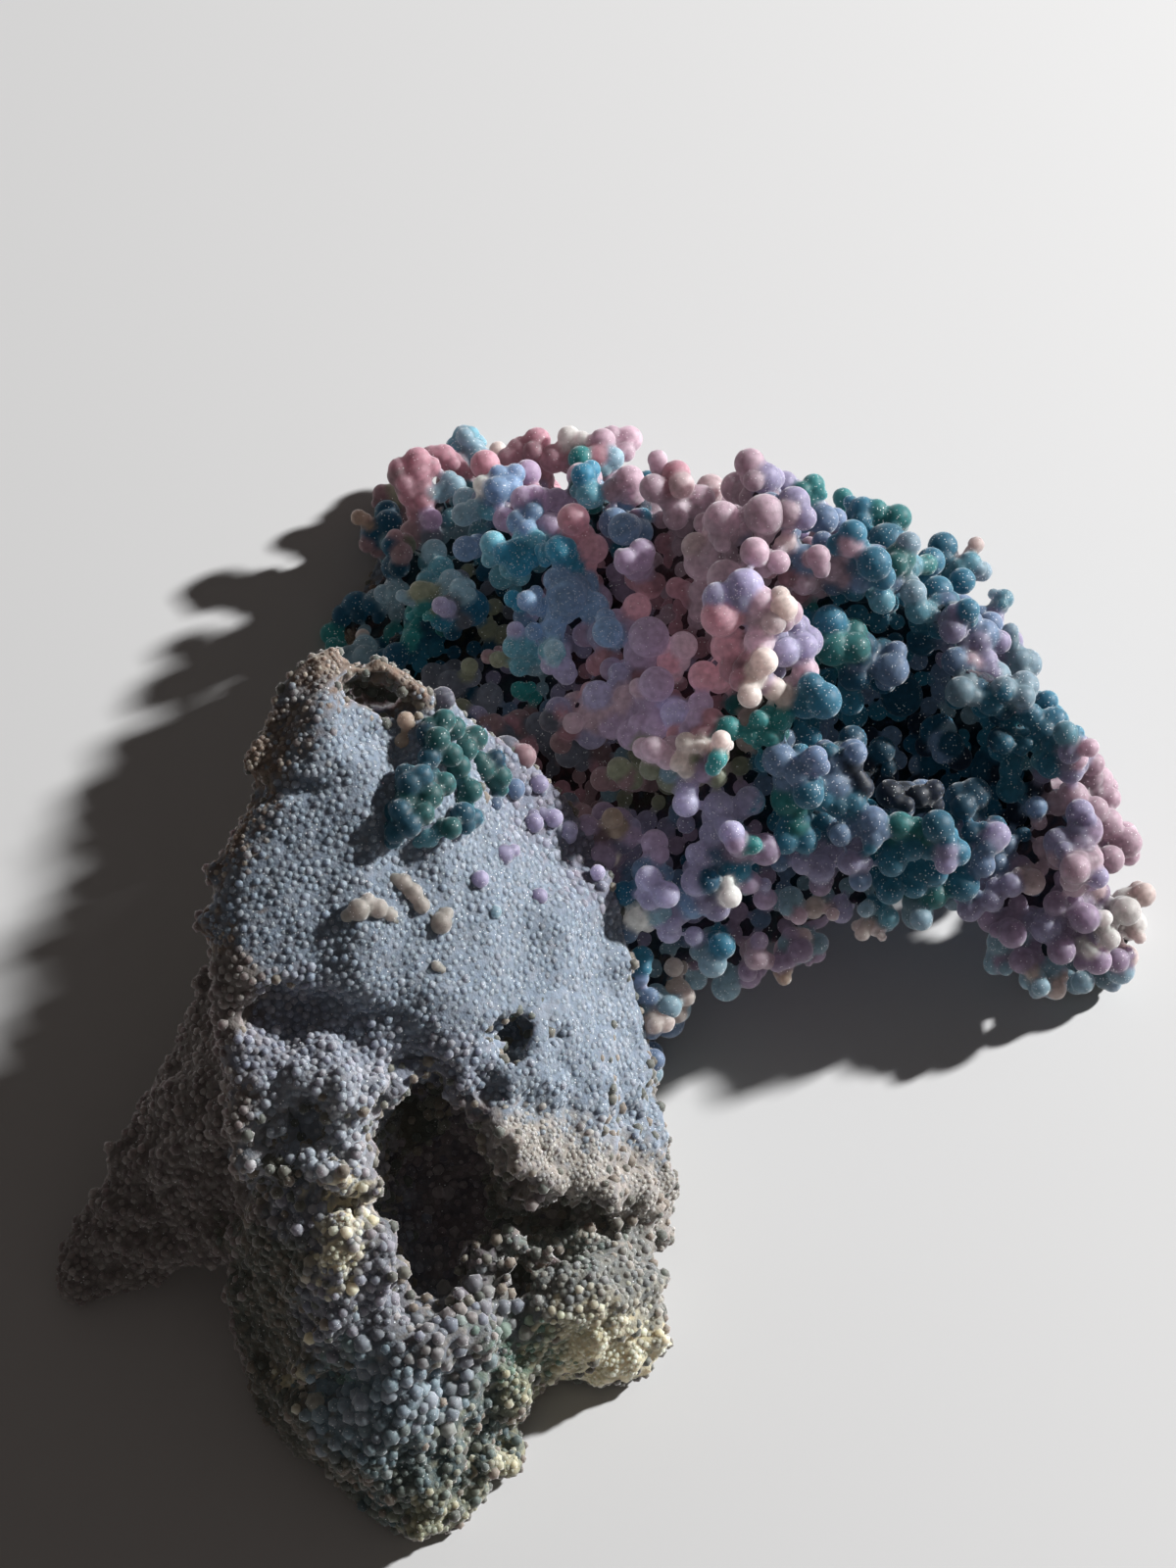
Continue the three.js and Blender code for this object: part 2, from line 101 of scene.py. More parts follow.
# The balls that stand out, as seen from the front: millimetres right of and above the aim, and radius.
GRAPES = {
    "white": [
        (-2.5, 36.2, 1.25), (5, -13.7, 1.4), (51.5, -17.3, 0.9), (53.3, -15.8, 1.1), (52.7, -13.7, 0.9),
        (-10.7, 30.5, 1.1), (55, -13, 1.5), (14.5, -11.5, 1.2),
    ],
    "cream": [
        (20, 18, 1.4), (18, 12.5, 1.4), (16.5, 9, 1.25), (19, 9.7, 1.25), (20, 9, 1.2), (13.6, 4.5, 1),
        (10, 4.2, 1.1), (9.2, 2.2, 1), (2.2, -7.5, 1), (10, -21.7, 1), (7.8, -24.3, 1.1), (23, -12.7, 1.1),
        (28, -15.2, 0.85), (30, -15.6, 0.5), (47.8, -21, 1.05), (45.5, -19.3, 0.85), (-23, 15.1, 0.8),
        (56.3, -15.7, 0.7), (39.6, 24.4, 0.9), (-9.2, 34.1, 0.95), (56.7, -11.3, 1.3),
    ],
    "blush": [
        (12.5, 30.2, 1.5), (9.5, 30.5, 1.4), (11, 24.2, 1.5), (19, 16.5, 1.25), (19.5, 24.8, 1.5),
        (45.3, -10, 1.4), (25, -13.3, 0.7), (22, -15.5, 0.85),
    ],
    "pink": [
        (1.5, 35, 1.4), (4.2, 35.2, 1.5), (7.1, 33.1, 1.05), (4.2, 31, 1.6), (6.7, 30.2, 1.5),
        (16.5, 32.7, 1.6), (15.2, 30.2, 1.7), (13.7, 27, 1.9), (18, 27.5, 2.1), (17, 23.7, 1.5),
        (23.5, 23.2, 1.25), (25, 22, 1.4), (26.7, 24.5, 1.4), (13.7, 24.5, 0.9), (11.5, 22.5, 1.75),
        (14, 21, 1.9), (17.5, 18.5, 1.75), (17.5, 14.5, 1.6), (22.2, 11.5, 1.4), (-1.5, 6.2, 1.1),
        (0.2, 7, 1.4), (6.7, 3.5, 1.4), (9.7, 14.1, 1.5), (51.5, 2, 1.3), (51.2, 3.7, 1), (53.2, -1.5, 1.25),
        (51.7, -2.7, 1.5), (53, -4, 1.6), (55, -6, 1.6), (53.3, -7.7, 1.5), (49.7, -8.7, 1.6),
        (49.7, -10.3, 1.3), (17.2, -17.7, 1.3), (21.5, -13.5, 0.9),
    ],
    "rose": [
        (-6.7, 33.7, 1.9), (-5.2, 35, 1.5), (-3.5, 33.2, 1.6), (13.5, 17, 2), (14.5, 14, 2), (-17.5, 32, 1.6),
        (-14.5, 32.7, 1.2), (-16, 33.5, 1.3), (0.5, 24, 1.6), (-1.5, 27, 1.7), (5, 18, 1.5), (11.8, 11, 1.6),
        (8.5, 12.5, 1.5), (-17.4, 33, 1.5), (-14.8, 33.3, 1.5), (-10.5, 32.6, 1.6), (-8, 33, 1.5),
        (-1.8, 33.2, 1.6), (1, 33.2, 1.6), (9, 31.6, 1.5), (-19.6, 32.4, 1.3),
    ],
    "mauve": [
        (5.5, 23.7, 1.4), (4, 22.7, 1.4), (2.5, 6, 1.5), (4.5, 5, 1.6), (7, 6, 1.5), (11.5, 6.5, 1.5),
        (7, 10.2, 1.8), (11.5, 8.2, 1.3), (6.2, 15, 2.1), (-6.2, 31.7, 1.5), (-6.5, 29, 1.5), (-8.5, 27, 1.3),
        (-5.5, 29, 1.6), (15, -6, 1.1), (6.8, -6, 1.4), (16.3, -19.2, 1), (20.7, -15.5, 0.9), (21.7, -17, 1.3),
        (23.3, -17.3, 1), (19.3, -18.3, 0.95), (23.7, -10.3, 1.2), (18, -11.7, 1.2), (50.7, -4.7, 1.9),
        (47.7, -12.2, 1.3), (50.7, -13.7, 1.6), (48.3, -17, 1.5), (43.3, -15.3, 1.5), (52, -18, 1.5),
        (54, -18, 1.3), (44.3, -18, 1.4), (17.5, -16, 0.95), (-16, 27, 1.2),
    ],
    "lavender": [
        (21, 28.7, 1.7), (20, 30.5, 1.5), (16, 20, 2), (20, 13.5, 1.6), (22, 14, 1.5), (1, 9, 1.6), (9, 7, 1.7),
        (37.2, 15.7, 1.4), (39.9, 14.5, 1.3), (42, 14.5, 1.25), (40.5, 12.5, 1.4), (49.2, 1.5, 1.5),
        (50.2, -3, 1.5), (13.3, -2.3, 1.6), (10, -2, 1.4), (14.7, -5, 1.3), (11, -7.1, 1.1), (6.2, -9.7, 1.4),
        (8, -11.3, 1.4), (8.3, -15, 1.3), (10.8, -15.5, 1), (23.7, -8.7, 1.5), (22, -8, 1.3), (26.7, -8, 1.3),
        (18, -10.3, 0.75), (39, -12.7, 1.4), (41.2, -11.8, 1.3), (43.2, -10.3, 1.3), (52, -9.5, 1.2),
        (48, -6, 1.6), (46.7, -14.7, 1.6), (-2.5, 11.7, 1.3), (-7.4, 15.7, 0.95), (-3.9, 12.1, 1),
        (-2.2, 11.1, 1.05), (-15, 18.2, 1), (16.5, -1.7, 1.5), (-8.7, -7.2, 1.1), (-5.5, -4, 1),
        (-3.5, -3.5, 1), (-2, -4.7, 1), (-5, 0, 1), (1, -9, 0.8), (-11, -9.7, 0.9), (-5, -11.5, 0.9),
    ],
    "slate": [
        (24, 27, 1.6), (3.7, 26, 1.7), (-2.2, 19.2, 2.1), (-2.5, 17.6, 1.4), (0.5, 18, 1.7), (2, 15.5, 1.6),
        (-3, 17.5, 1.3), (-9.2, 30, 1.5), (-8, 30.2, 1.5), (-7, 26.7, 1.4), (-12.5, 24, 1.4), (-6.2, 18.7, 1.1),
        (-3.5, 16, 1.3), (-5.5, 15.6, 0.95), (19.5, 2.5, 1.75), (23.2, 2.7, 1.25), (25, -0.2, 2),
        (24.8, 0, 1.8), (37.5, 12.5, 1.5), (31, 11.7, 1.8), (31.2, 12, 1.5), (5.3, -19.8, 0.95),
        (6.3, -21.7, 1), (10.7, -12.3, 1.5), (25.8, -5.2, 1.2), (29, -3.8, 1.6), (27.8, -9.8, 1.2),
        (40.3, -8.3, 1.3), (-7.5, -0.5, 1.1), (-10, -2.2, 0.9),
    ],
    "mist": [
        (2.5, 33.2, 1.3), (-13, 36.2, 1.2), (-12.7, 34.6, 1.3), (-11.5, 34.2, 1.1), (-18.2, 34, 0.9),
        (-13.5, 30.4, 1.2), (-12.5, 29, 1.4), (-12.7, 27.5, 1.3), (-15.7, 23.7, 1.4), (-14, 20.7, 1.3),
        (-13.1, 20, 1.1), (-19, 19.2, 0.7), (-20.9, 19.4, 1.05), (33.2, 19.5, 1.4), (40.2, 21.7, 1.1),
        (42.1, 18.1, 0.9), (32.7, 24.5, 1.3), (38, 9.4, 1.6), (44, 12.7, 1.4), (44.5, 10, 1.6),
        (43.1, 15.6, 0.9), (-3.4, 13.7, 1.1), (8.3, -22.7, 1.3), (12.7, -18.3, 1.5), (20.7, -11.7, 1.3),
        (20.2, -12.8, 0.7), (28.3, -12.8, 0.85), (34, -13.8, 1.2), (46.2, -20.7, 1), (50.5, -20.2, 1.25),
        (-9.5, -13, 0.7),
    ],
    "pale_teal": [
        (-13.6, 37, 1.15), (-16.7, 35.2, 0.9), (-18.4, 35.4, 0.8), (-14.8, 35.6, 1), (-12, 35.6, 1.1),
        (-15, 22, 1.4), (-10, 28.2, 1.4), (-9.7, 24.5, 1.4), (-6.6, 24.7, 1.3), (-3.2, 13.5, 1),
        (-7.6, 14, 1.2), (-7, 12, 1.1), (0.2, 29.5, 1.5), (30, 18.7, 1.4), (33.7, 17.7, 1.4), (42.5, 19, 1.1),
        (48.7, 5.2, 1.3), (39, 22.5, 1.25), (30.7, -13.7, 1.1), (-16.2, -5.5, 1), (-13.2, 0.7, 1.2),
    ],
    "teal": [
        (-0.5, 31.5, 1.3), (-3, 24, 1.4), (-8.5, 23.5, 1.2), (-7, 22.5, 1.5), (-3.9, 23.6, 1.2),
        (-2.2, 24.1, 1.1), (-7.7, 18.9, 0.95), (30.5, 24.5, 2.2), (29.2, 22.5, 1.8), (24.7, 16.5, 1.8),
        (24, 8.5, 1.9), (27.2, 7, 1.4), (36.2, 24.2, 1.6), (35, 22.7, 1.5), (35.7, 19.7, 1.6),
        (38.2, 20.7, 1.4), (38.7, 17.7, 1.3), (41.2, 8.5, 1.6), (45.2, 7, 1.3), (46.5, 5.5, 1.4),
        (44.9, 4.1, 0.8), (47.2, 2, 1.5), (43.1, -0.5, 1.5), (43.1, 1.4, 1.2), (20.2, -5.8, 1.4),
        (22.2, -6, 1.2), (16.7, -1.8, 1.4), (28.8, -6.5, 0.7), (31, -8, 1.5), (30.8, -10.8, 1.5),
        (33.3, -10.3, 1.4), (35.3, -9, 1.5), (38.3, -10.3, 1.7), (35.7, -4.3, 1.7), (15.3, -8.7, 1.4),
        (13.7, -16.5, 1.4), (5.5, -17.7, 1.2), (22.5, -1, 1.6), (27, -2, 1.5), (33, -6.5, 1.4), (28, 28, 1.4),
        (27, 25.5, 1.5),
    ],
    "green": [
        (-0.7, 33.2, 1.4), (23, 30.5, 1.2), (26, 29.2, 1.1), (29.4, 27.9, 1.25), (32.2, 27.6, 1.5),
        (33.3, 28.2, 1), (25, 14, 2), (17.5, 6.5, 1.1), (19.5, 6.5, 1.1), (18.7, 4.7, 1), (16.7, 5, 1),
        (13.2, 2.5, 1), (20.5, -1.5, 1.9), (21.3, -4.3, 1.5), (16.8, -6.2, 1), (31.8, -4.3, 1.5),
        (35.3, -11.3, 1.5), (-17.2, 17.7, 0.7), (-18.2, 17.1, 0.5), (-16.5, 17, 0.5), (-17.7, 16.3, 0.5),
        (-18.4, 16, 0.5), (-26.2, 15, 1.2), (-26.7, 14, 0.9), (-7, 9.6, 0.95), (-18, 15, 0.9), (16, -10.9, 0.5),
    ],
    "deep_teal": [
        (32, 9, 2.2), (40.2, 1.2, 1.1), (39.6, -0.7, 1.05), (34.7, 2, 1.25), (39.2, -5, 1.2), (3.7, -11.2, 1.3),
        (27, 4.5, 1.5), (30, 3.5, 1.4), (37, 4, 1.4), (42, 4.5, 1.3), (28, 14, 1.6), (34, 14.5, 1.5),
        (27, 11, 1.5), (-20.5, 27.7, 1.4), (-12, 18, 2),
    ],
    "straw": [
        (-23.4, -12.8, 1.1), (-21.4, -12.7, 1), (-20.2, -13.3, 0.8), (-18.9, -10, 0.9), (-17.8, -11.1, 0.95),
        (-17, -12.4, 0.9), (-15, -14.2, 1.1), (-14.4, -13.2, 0.7), (-15.5, -18.6, 0.6), (-22.4, -11.8, 0.7),
    ],
    "olive": [
        (-20, 29.7, 1.1), (-17.2, 19.7, 1.1), (-9.2, 12.7, 0.9), (-12.1, 12, 0.95), (5.5, 4, 1.1),
        (3.2, 1.5, 1.3),
    ],
    "tan": [
        (-23.4, 27.2, 0.9), (20, -19.8, 0.8), (-18.2, 4, 0.95), (-18.6, 6.5, 0.9), (2.5, -3.5, 1.1),
    ],
    "brown_pink": [
        (-19.2, 31.5, 1.4), (-21.2, 30, 1.1), (-22.5, 24.5, 1), (-18, 25.7, 1.3), (-19.7, 25.2, 0.9),
        (-19, 23.5, 1.2), (-10.2, 13, 0.8), (-0.7, -3.2, 1.3), (1.5, 0.5, 1.3), (4, 0.5, 1.2),
    ],
    "dim": [
        (-14, 10.2, 1.5), (-15, 8.5, 1.3), (-12, 11, 1.2), (-16, 25.3, 1.2), (-10, 9, 1.4), (-5, 6, 1.4),
        (-2, 3, 1.4),
    ],
}

# The bunch of balls that stands on the sheet, seen in the same way.
BUNCH = [
    (-14.7, 6.5, 0.95), (-13.7, 5.7, 1), (-16.5, 5.2, 0.9), (-11.5, 4.7, 1.05), (-12.5, 3.5, 1),
    (-16.2, 2.7, 0.95), (-14, 3, 1), (-9.5, 2.5, 0.9), (-10.7, 1.5, 1), (-9, 0.7, 1), (-12, -0.7, 1),
    (-16.2, -1.2, 1.15), (-18.2, 0, 1.05), (-18.5, -1.5, 0.9), (-14.7, 0, 1), (-12.7, -3, 0.95),
    (-11.7, -3.5, 0.85), (-19.2, -2.7, 0.9), (-18.2, -4.2, 1), (-14, -4.5, 0.9), (-19.7, -5, 0.85),
    (-15.3, 4.6, 1), (-13.2, 1.8, 1), (-17, 0.8, 0.95), (-16.8, -3, 0.9),
]
BUNCH_LIFT = 3.0  # how far off the sheet they stand
BUNCH_SWELL = 1.22  # they are larger by this, so that they touch
BUNCH_SHADE = 0.36  # they stand in full light, so their tints are darker by this
BUNCH_TINTS = ["teal", "green", "green", "deep_teal", "teal"]

# The same bunch in plan. The stone under it is made even within BUNCH_REACH.
BUNCH_FEET = np.array([(-14.5, 16), (-11.5, 13.5), (-15.5, 12), (-17, 8.5), (-12.5, 9.5), (-9, 11), (-14, 6.5)])
BUNCH_REACH = 3.4

# In the valley of the crust on the left the leading balls stand on long stalks.
VALLEY = (-4, 22)
VALLEY_REACH = 11
VALLEY_LIFT = 4.0

# Patches of ball colour between them: right, up, reach, and the colours found there.
BALL_PATCHES = [
    (-22, 27, 6, "brown_pink olive deep_teal tan"), (-18, 32, 5, "rose brown_pink mist"),
    (-20, 21, 5, "deep_teal brown_pink mist"), (-13, 35, 3.5, "mist pale_teal"), (-16, 22, 4, "mist pale_teal"),
    (-17, 17, 3, "green teal deep_teal"), (-6, 33, 4.5, "rose rose mauve"), (2, 34, 4.5, "pink pink mist"),
    (0, 29, 3, "teal pale_teal green"), (4, 27, 3, "teal slate mauve"), (-11, 29, 4, "mist pale_teal slate"),
    (-6, 28, 3.5, "mauve slate rose"), (-7, 23, 4, "pale_teal teal slate"), (-2, 19, 3.5, "slate mauve"),
    (-12, 18, 4.5, "dim olive deep_teal"), (-5, 14, 4, "mist lavender slate"), (3, 19, 4, "rose deep mauve"),
    (2, 12, 4, "mauve rose lavender"), (3, 7, 4, "mauve pink lavender"), (9, 5, 4, "mauve rose pink"),
    (9, 12, 4, "rose mauve"), (10, 20, 4.5, "rose pink"), (10, 31, 5, "pink blush pink"),
    (15, 26, 5, "pink lavender pink"), (21, 29, 4.5, "lavender slate pink"), (24, 25, 4, "pink lavender slate"),
    (16, 19, 4.5, "pink rose pink"), (20, 13, 4, "lavender pink blush"), (16, 13, 3.5, "rose rose"),
    (17, 7, 3, "green cream"), (12, 2, 3.5, "cream olive mauve"), (27, 27, 5, "teal pale_teal green"),
    (34, 25, 6, "teal green pale_teal"), (30, 19, 5, "teal slate teal"), (25, 13, 5, "teal green slate"),
    (31, 11, 5, "slate teal deep_teal"), (38, 20, 5, "teal pale_teal slate"),
    (40, 14, 4, "lavender pink slate"), (44, 12, 4, "lavender mist"), (40, 7, 4, "teal mist deep_teal"),
    (46, 6, 4, "teal pale_teal"), (50, 1, 4, "lavender pink"), (54, -3, 5, "pink pink rose"),
    (50, -6, 4.5, "mauve pink slate"), (54, -9, 4, "pink mauve blush"), (48, -13, 4.5, "mauve slate lavender"),
    (54, -14, 3.5, "white cream mauve"), (50, -18, 4.5, "mauve lavender mist"),
    (45, -18, 3.5, "mauve mist cream"), (32, 3, 7, "deep_teal slate deep"), (40, -1, 5, "deep deep_teal"),
    (27, 7, 4, "teal slate deep_teal"), (22, 0, 5, "teal slate teal"), (27, -5, 5, "slate teal teal"),
    (33, -7, 6, "teal teal slate"), (39, -8, 4, "slate teal lavender"), (42, -11, 3.5, "lavender mauve"),
    (13, -3, 4, "lavender slate mauve"), (7, -7, 5, "lavender mauve slate"),
    (12, -10, 4, "slate lavender deep_teal"), (18, -9, 4, "mauve slate teal"),
    (25, -11, 4, "mauve mist lavender"), (8, -14, 4, "lavender slate mist"), (6, -20, 4, "slate mist cream"),
    (14, -18, 5, "mist mauve lavender"), (21, -17, 4, "mauve mist pink"), (30, -14, 5, "mist lavender teal"),
    (36, -13, 4, "deep_teal mist lavender"), (0, 1, 5, "brown_pink dim rose"),
    (5, 1, 4, "olive brown_pink mist"), (1, -5, 3, "brown_pink mauve"),
]

# Painted light and shade on the balls: places where their tints are made lighter to stand in for light, or darker
# below 0 for shade: right, up, reach, how much.
PAINTED_LIGHT_SPOTS = [
    (-5, 19, 13, 1.2), (9, 9, 9, 1.1), (8, -9, 8, 1), (16, 16, 7, 0.6), (40, 5, 20, -0.32), (-10, 0, 7, -0.3),
]

# Beads outside the crust, named by the ground that they cover: tints, least and greatest radius and spacing
# in millimetres, and how deep they sit as a share of the radius.
Ground = namedtuple("Ground", "tints least most spacing sunk", defaults=[0.25])
GROUNDS = {
    "sheet": Ground([(124, 136, 150), (118, 131, 147), (132, 139, 150)], 0.44, 0.56, 0.6, 0.52),
    "haze": Ground([(120, 120, 134), (114, 120, 136), (128, 124, 136)], 0.5, 0.9, 0.8, 0.45),
    "rim": Ground([(126, 106, 92), (106, 90, 78), (144, 130, 116)], 0.26, 0.38, 0.42),
    "fold": Ground([(122, 126, 140), (114, 120, 134), (134, 134, 142)], 0.4, 0.6, 0.62),
    # The cup's tints are lighter than the sheet's: painted light in the hollow of the cup.
    "cup": Ground([(142, 148, 158), (134, 142, 152), (156, 156, 160)], 0.36, 0.74, 0.66),
    "lip": Ground([(152, 144, 136), (140, 136, 134), (160, 152, 144)], 0.24, 0.38, 0.4),
    "cave": Ground([(112, 102, 104), (94, 90, 96), (126, 118, 118)], 0.3, 0.85, 0.85),
    "ledge": Ground([(128, 132, 124), (106, 124, 116), (140, 136, 124)], 0.3, 0.5, 0.5),
    "ridge": Ground([(114, 118, 128), (124, 124, 132), (106, 110, 116)], 0.38, 0.82, 0.72),
    "lobe": Ground([(118, 120, 118), (106, 110, 110), (130, 128, 120)], 0.32, 0.66, 0.6),
    "pebble": Ground([(114, 116, 120), (104, 110, 120), (128, 124, 120)], 0.6, 1.15, 1.0),
    "worm": Ground([(112, 128, 136), (102, 120, 130), (124, 132, 140)], 0.6, 1.2, 1.0),
    "green": Ground([(84, 118, 108), (102, 126, 110), (118, 124, 114)], 0.34, 0.52, 0.56),
    "dark": Ground([(82, 96, 94), (70, 86, 90), (102, 108, 100)], 0.42, 0.75, 0.72),
    "moss": Ground([(136, 136, 114), (120, 124, 108), (150, 146, 122)], 0.34, 0.56, 0.56),
    "yellow": Ground([(236, 222, 186), (226, 212, 174), (240, 228, 198)], 0.24, 0.4, 0.42),
    "spur": Ground([(118, 110, 106), (108, 100, 98), (130, 124, 120)], 0.36, 0.56, 0.66),
    "flank": Ground([(98, 98, 90), (86, 90, 84), (112, 106, 96)], 0.3, 0.55, 0.68),
}

# Patches of each ground as seen from the front: right, up, reach.
GROUND_PATCHES = [
    ("sheet", [
        (-25, 5, 6), (-22, -8, 10), (-10, -10, 8), (-30, -12, 7), (-5, -20, 9), (-20, -20, 9), (2, -25, 6),
        (6, -31, 3.5), (-14, 0, 8),
    ]),
    ("haze", [(-5, -2, 5), (1, -8, 4), (-8, 4, 4.5), (-1, 4, 5)]),
    ("rim", [
        (-30, 6, 2.6), (-34.5, 0, 2.6), (-37.5, -8, 2.2), (-38.6, -16, 1.8), (-38.6, -24, 1.8), (-37, -32, 2),
        (-27, 11.5, 3), (-22, 12, 3.2), (-18, 10.5, 3.2), (-33, 3, 2.4), (-36.5, -4, 2.2),
    ]),
    ("fold", [(-30, -24, 6), (-22, -28, 5), (-15, -28, 4), (-34, -28, 4)]),
    ("cup", [(-30, -35, 6), (-24, -32, 5), (-34, -38, 3)]),
    ("lip", [(-4, -38.5, 4.5), (3, -41, 4.5), (6.5, -41, 3), (-8, -36, 2.4), (7.5, -45, 3)]),
    ("sheet", [(0, -31, 4.5), (-7, -30.5, 3), (6, -35, 3)]),
    ("cave", [(-15, -38, 5), (-14, -47, 5.5), (-8, -44, 4), (-16, -32, 3)]),
    ("ledge", [(-6, -46, 3), (0, -46, 2.5)]),
    ("ridge", [(-21, -46, 4), (-20, -52, 4.5), (-26, -54, 4.5), (-30, -44, 3)]),
    ("lobe", [(0, -51, 5.5), (5, -50, 4), (-7, -51, 4), (6, -55, 3)]),
    ("pebble", [(-14, -54.5, 4.5), (-8, -54, 3), (-17, -58, 3.5), (-12, -58, 3)]),
    ("worm", [(-22, -61, 4.5), (-17, -64, 4.5), (-26, -64, 4), (-22, -66, 3.5)]),
    ("green", [(-8, -58.5, 2.6), (-4.5, -57.5, 2.2), (-10, -56, 1.6), (-25, -60, 1.6)]),
    ("dark", [(-16, -69, 4.5), (-20, -70, 4), (-10, -65, 3.5), (-11, -71, 3), (-22, -73, 3)]),
    ("moss", [(-13, -66, 2.2), (-12, -74, 3.5), (-17, -76, 3), (-6, -62, 3), (-8, -69, 2)]),
    ("yellow", [
        (3.5, -58, 5), (-1, -56.5, 3), (-24.5, -43.5, 2.2), (-25.5, -49, 2), (-8.5, -70.5, 2), (-31, -60, 2),
    ]),
    ("spur", [(-42, -35, 9), (-48, -45, 8), (-40, -46, 6), (-38, -22, 5), (-54, -50, 5)]),
    ("flank", [(-34, -50, 4.5), (-34, -58, 5), (-31, -66, 4), (-26, -72, 3), (-37, -46, 3)]),
]
BEAD_PATCHES = [(*patch, ground) for ground, patches in GROUND_PATCHES for patch in patches]

# Relief of the stone as seen from the front: right, up, half width, half height, turn in degrees, lift.
RELIEF = [
    (-25, 6, 5, 4.5, 0, 1.2), (-31, -0.5, 5, 1.2, 8, -0.9), (-21.5, 8.6, 3.6, 1.5, -22, -2.5),
    (-29, -24, 7.5, 2, -8, -2.2), (-33, -22.5, 3, 1.5, 0, -0.9), (-17, -29.5, 4, 1.4, -12, -1.2),
    (-30, -35.5, 3.6, 3, 0, -2.6), (-26, -39.5, 4.5, 1.6, -20, 1.2), (-35.5, -35, 1.8, 4.5, 0, 0.8),
    (-24.5, -31.5, 4.5, 3.5, 0, 1.4), (-27, -42.2, 6, 1.3, -12, -2.4), (-20.5, -47, 2.6, 6.5, 12, 1.5),
    (-29, -50, 2.4, 6, 0, -1.4), (-8, -25, 2.6, 2.2, 0, 0.7), (-8, -25, 1.1, 1, 0, -5),
    (-2.8, -25.8, 0.8, 0.8, 0, -1.2), (-18.8, -33, 2.6, 3, 0, -4), (-16.5, -50.5, 2.6, 3, 0, -4),
    (-14.5, -40, 4.5, 7, 0, -3), (-9, -43, 4.5, 3, -12, -4.5), (-11, -50, 5, 2.4, -6, -2),
    (-3, -43.6, 7, 1.2, -8, -5), (-4, -39, 7, 3.6, -10, 1.1), (4, -33, 1.4, 7, 0, -0.7),
    (-6.5, -46, 4, 1.4, -6, 1.6), (-8, -49, 4.5, 1.3, 0, -2), (2, -50.5, 4.5, 3.5, 0, 0.8),
    (-33, -57, 3.5, 7, 10, -1.2), (-11, -69, 1.3, 4.5, -25, -2.4), (-28, -61.5, 3, 1.2, 0, -2.4),
    (-24, -72.5, 4.5, 1.6, -30, -1.4), (-8.2, -70.3, 1.4, 1.4, 0, 2.2), (-14, -61, 5, 1.2, 20, -0.9),
]

# Lumps that stand out of the stone, seen in the same way: right, up, radius, how far they stand out.
LUMPS = [
    (-35.5, 2.5, 0.9, 0.5), (-34.4, 4.4, 0.9, 0.5), (-33.2, 6.2, 0.9, 0.6), (-32, 8, 0.9, 0.6),
    (-30.6, 9.8, 0.9, 0.7), (-29.2, 11.3, 0.9, 0.8), (-27.6, 12.4, 0.9, 0.9), (-26, 13, 0.9, 0.9),
    (-24.4, 13.3, 0.9, 1), (-22.8, 12.9, 0.9, 1), (-21.3, 12, 0.9, 0.8), (-19.9, 11.1, 0.9, 0.7),
    (-18.6, 10.2, 0.9, 0.6), (-17.4, 9.4, 0.8, 0.5), (-16.5, 8.8, 0.8, 0.5), (-38.4, -9, 0.9, 0.5),
    (-39, -14, 0.9, 0.5), (-39, -20, 1, 0.5), (-39, -27, 0.9, 0.5), (-37.5, -34, 1.2, 0.8),
    (-12.5, -30.8, 1.6, 0.8), (-10.2, -33.4, 1.7, 1), (-9, -36.5, 1.8, 1.1), (-7.6, -39, 1.8, 1.2),
    (-5, -41, 1.7, 1.3), (-2, -42, 1.6, 1.3), (1.5, -42, 1.6, 1.3), (5, -41.5, 2, 1), (6.5, -38, 1.8, 0.6),
    (-19.5, -36.5, 1.3, 0.6), (-18.5, -42, 1.5, 0.6), (-18.2, -47, 1.4, 0.6), (-5.5, -45.8, 1.4, 1),
    (-3.6, -46.6, 1.2, 1), (-7.8, -46.6, 1.1, 0.8), (-10.5, -48.8, 1.3, 0.7), (-13, -52.5, 1.5, 0.6),
    (-9, -53.2, 1.3, 0.5), (-5.5, -69.2, 1.1, 0.9), (-6.4, -67.8, 0.8, 0.9), (-7, -70.4, 1, 0.8),
    (7.2, -56.5, 1.3, 0.5), (5.5, -59, 1.2, 0.5), (2, -59.5, 1.2, 0.4), (-34.5, -38.5, 1.5, 1),
    (-31, -40.5, 1.5, 1.2), (-27, -40.5, 1.5, 1.3), (-23.5, -38.5, 1.5, 1), (-26, -30, 1.6, 0.8),
    (-21.5, -31, 1.5, 0.8), (-33.5, -30, 1.2, 0.7), (-24, -44.5, 1.3, 0.8), (-21, -50, 1.6, 0.8),
    (-27.5, -56, 1.6, 0.7), (-17, -75.5, 1.2, 0.4), (-35.5, -26, 1.1, 0.7), (7.6, -46, 1, 0.5),
    (7.4, -50.5, 1, 0.4),
]

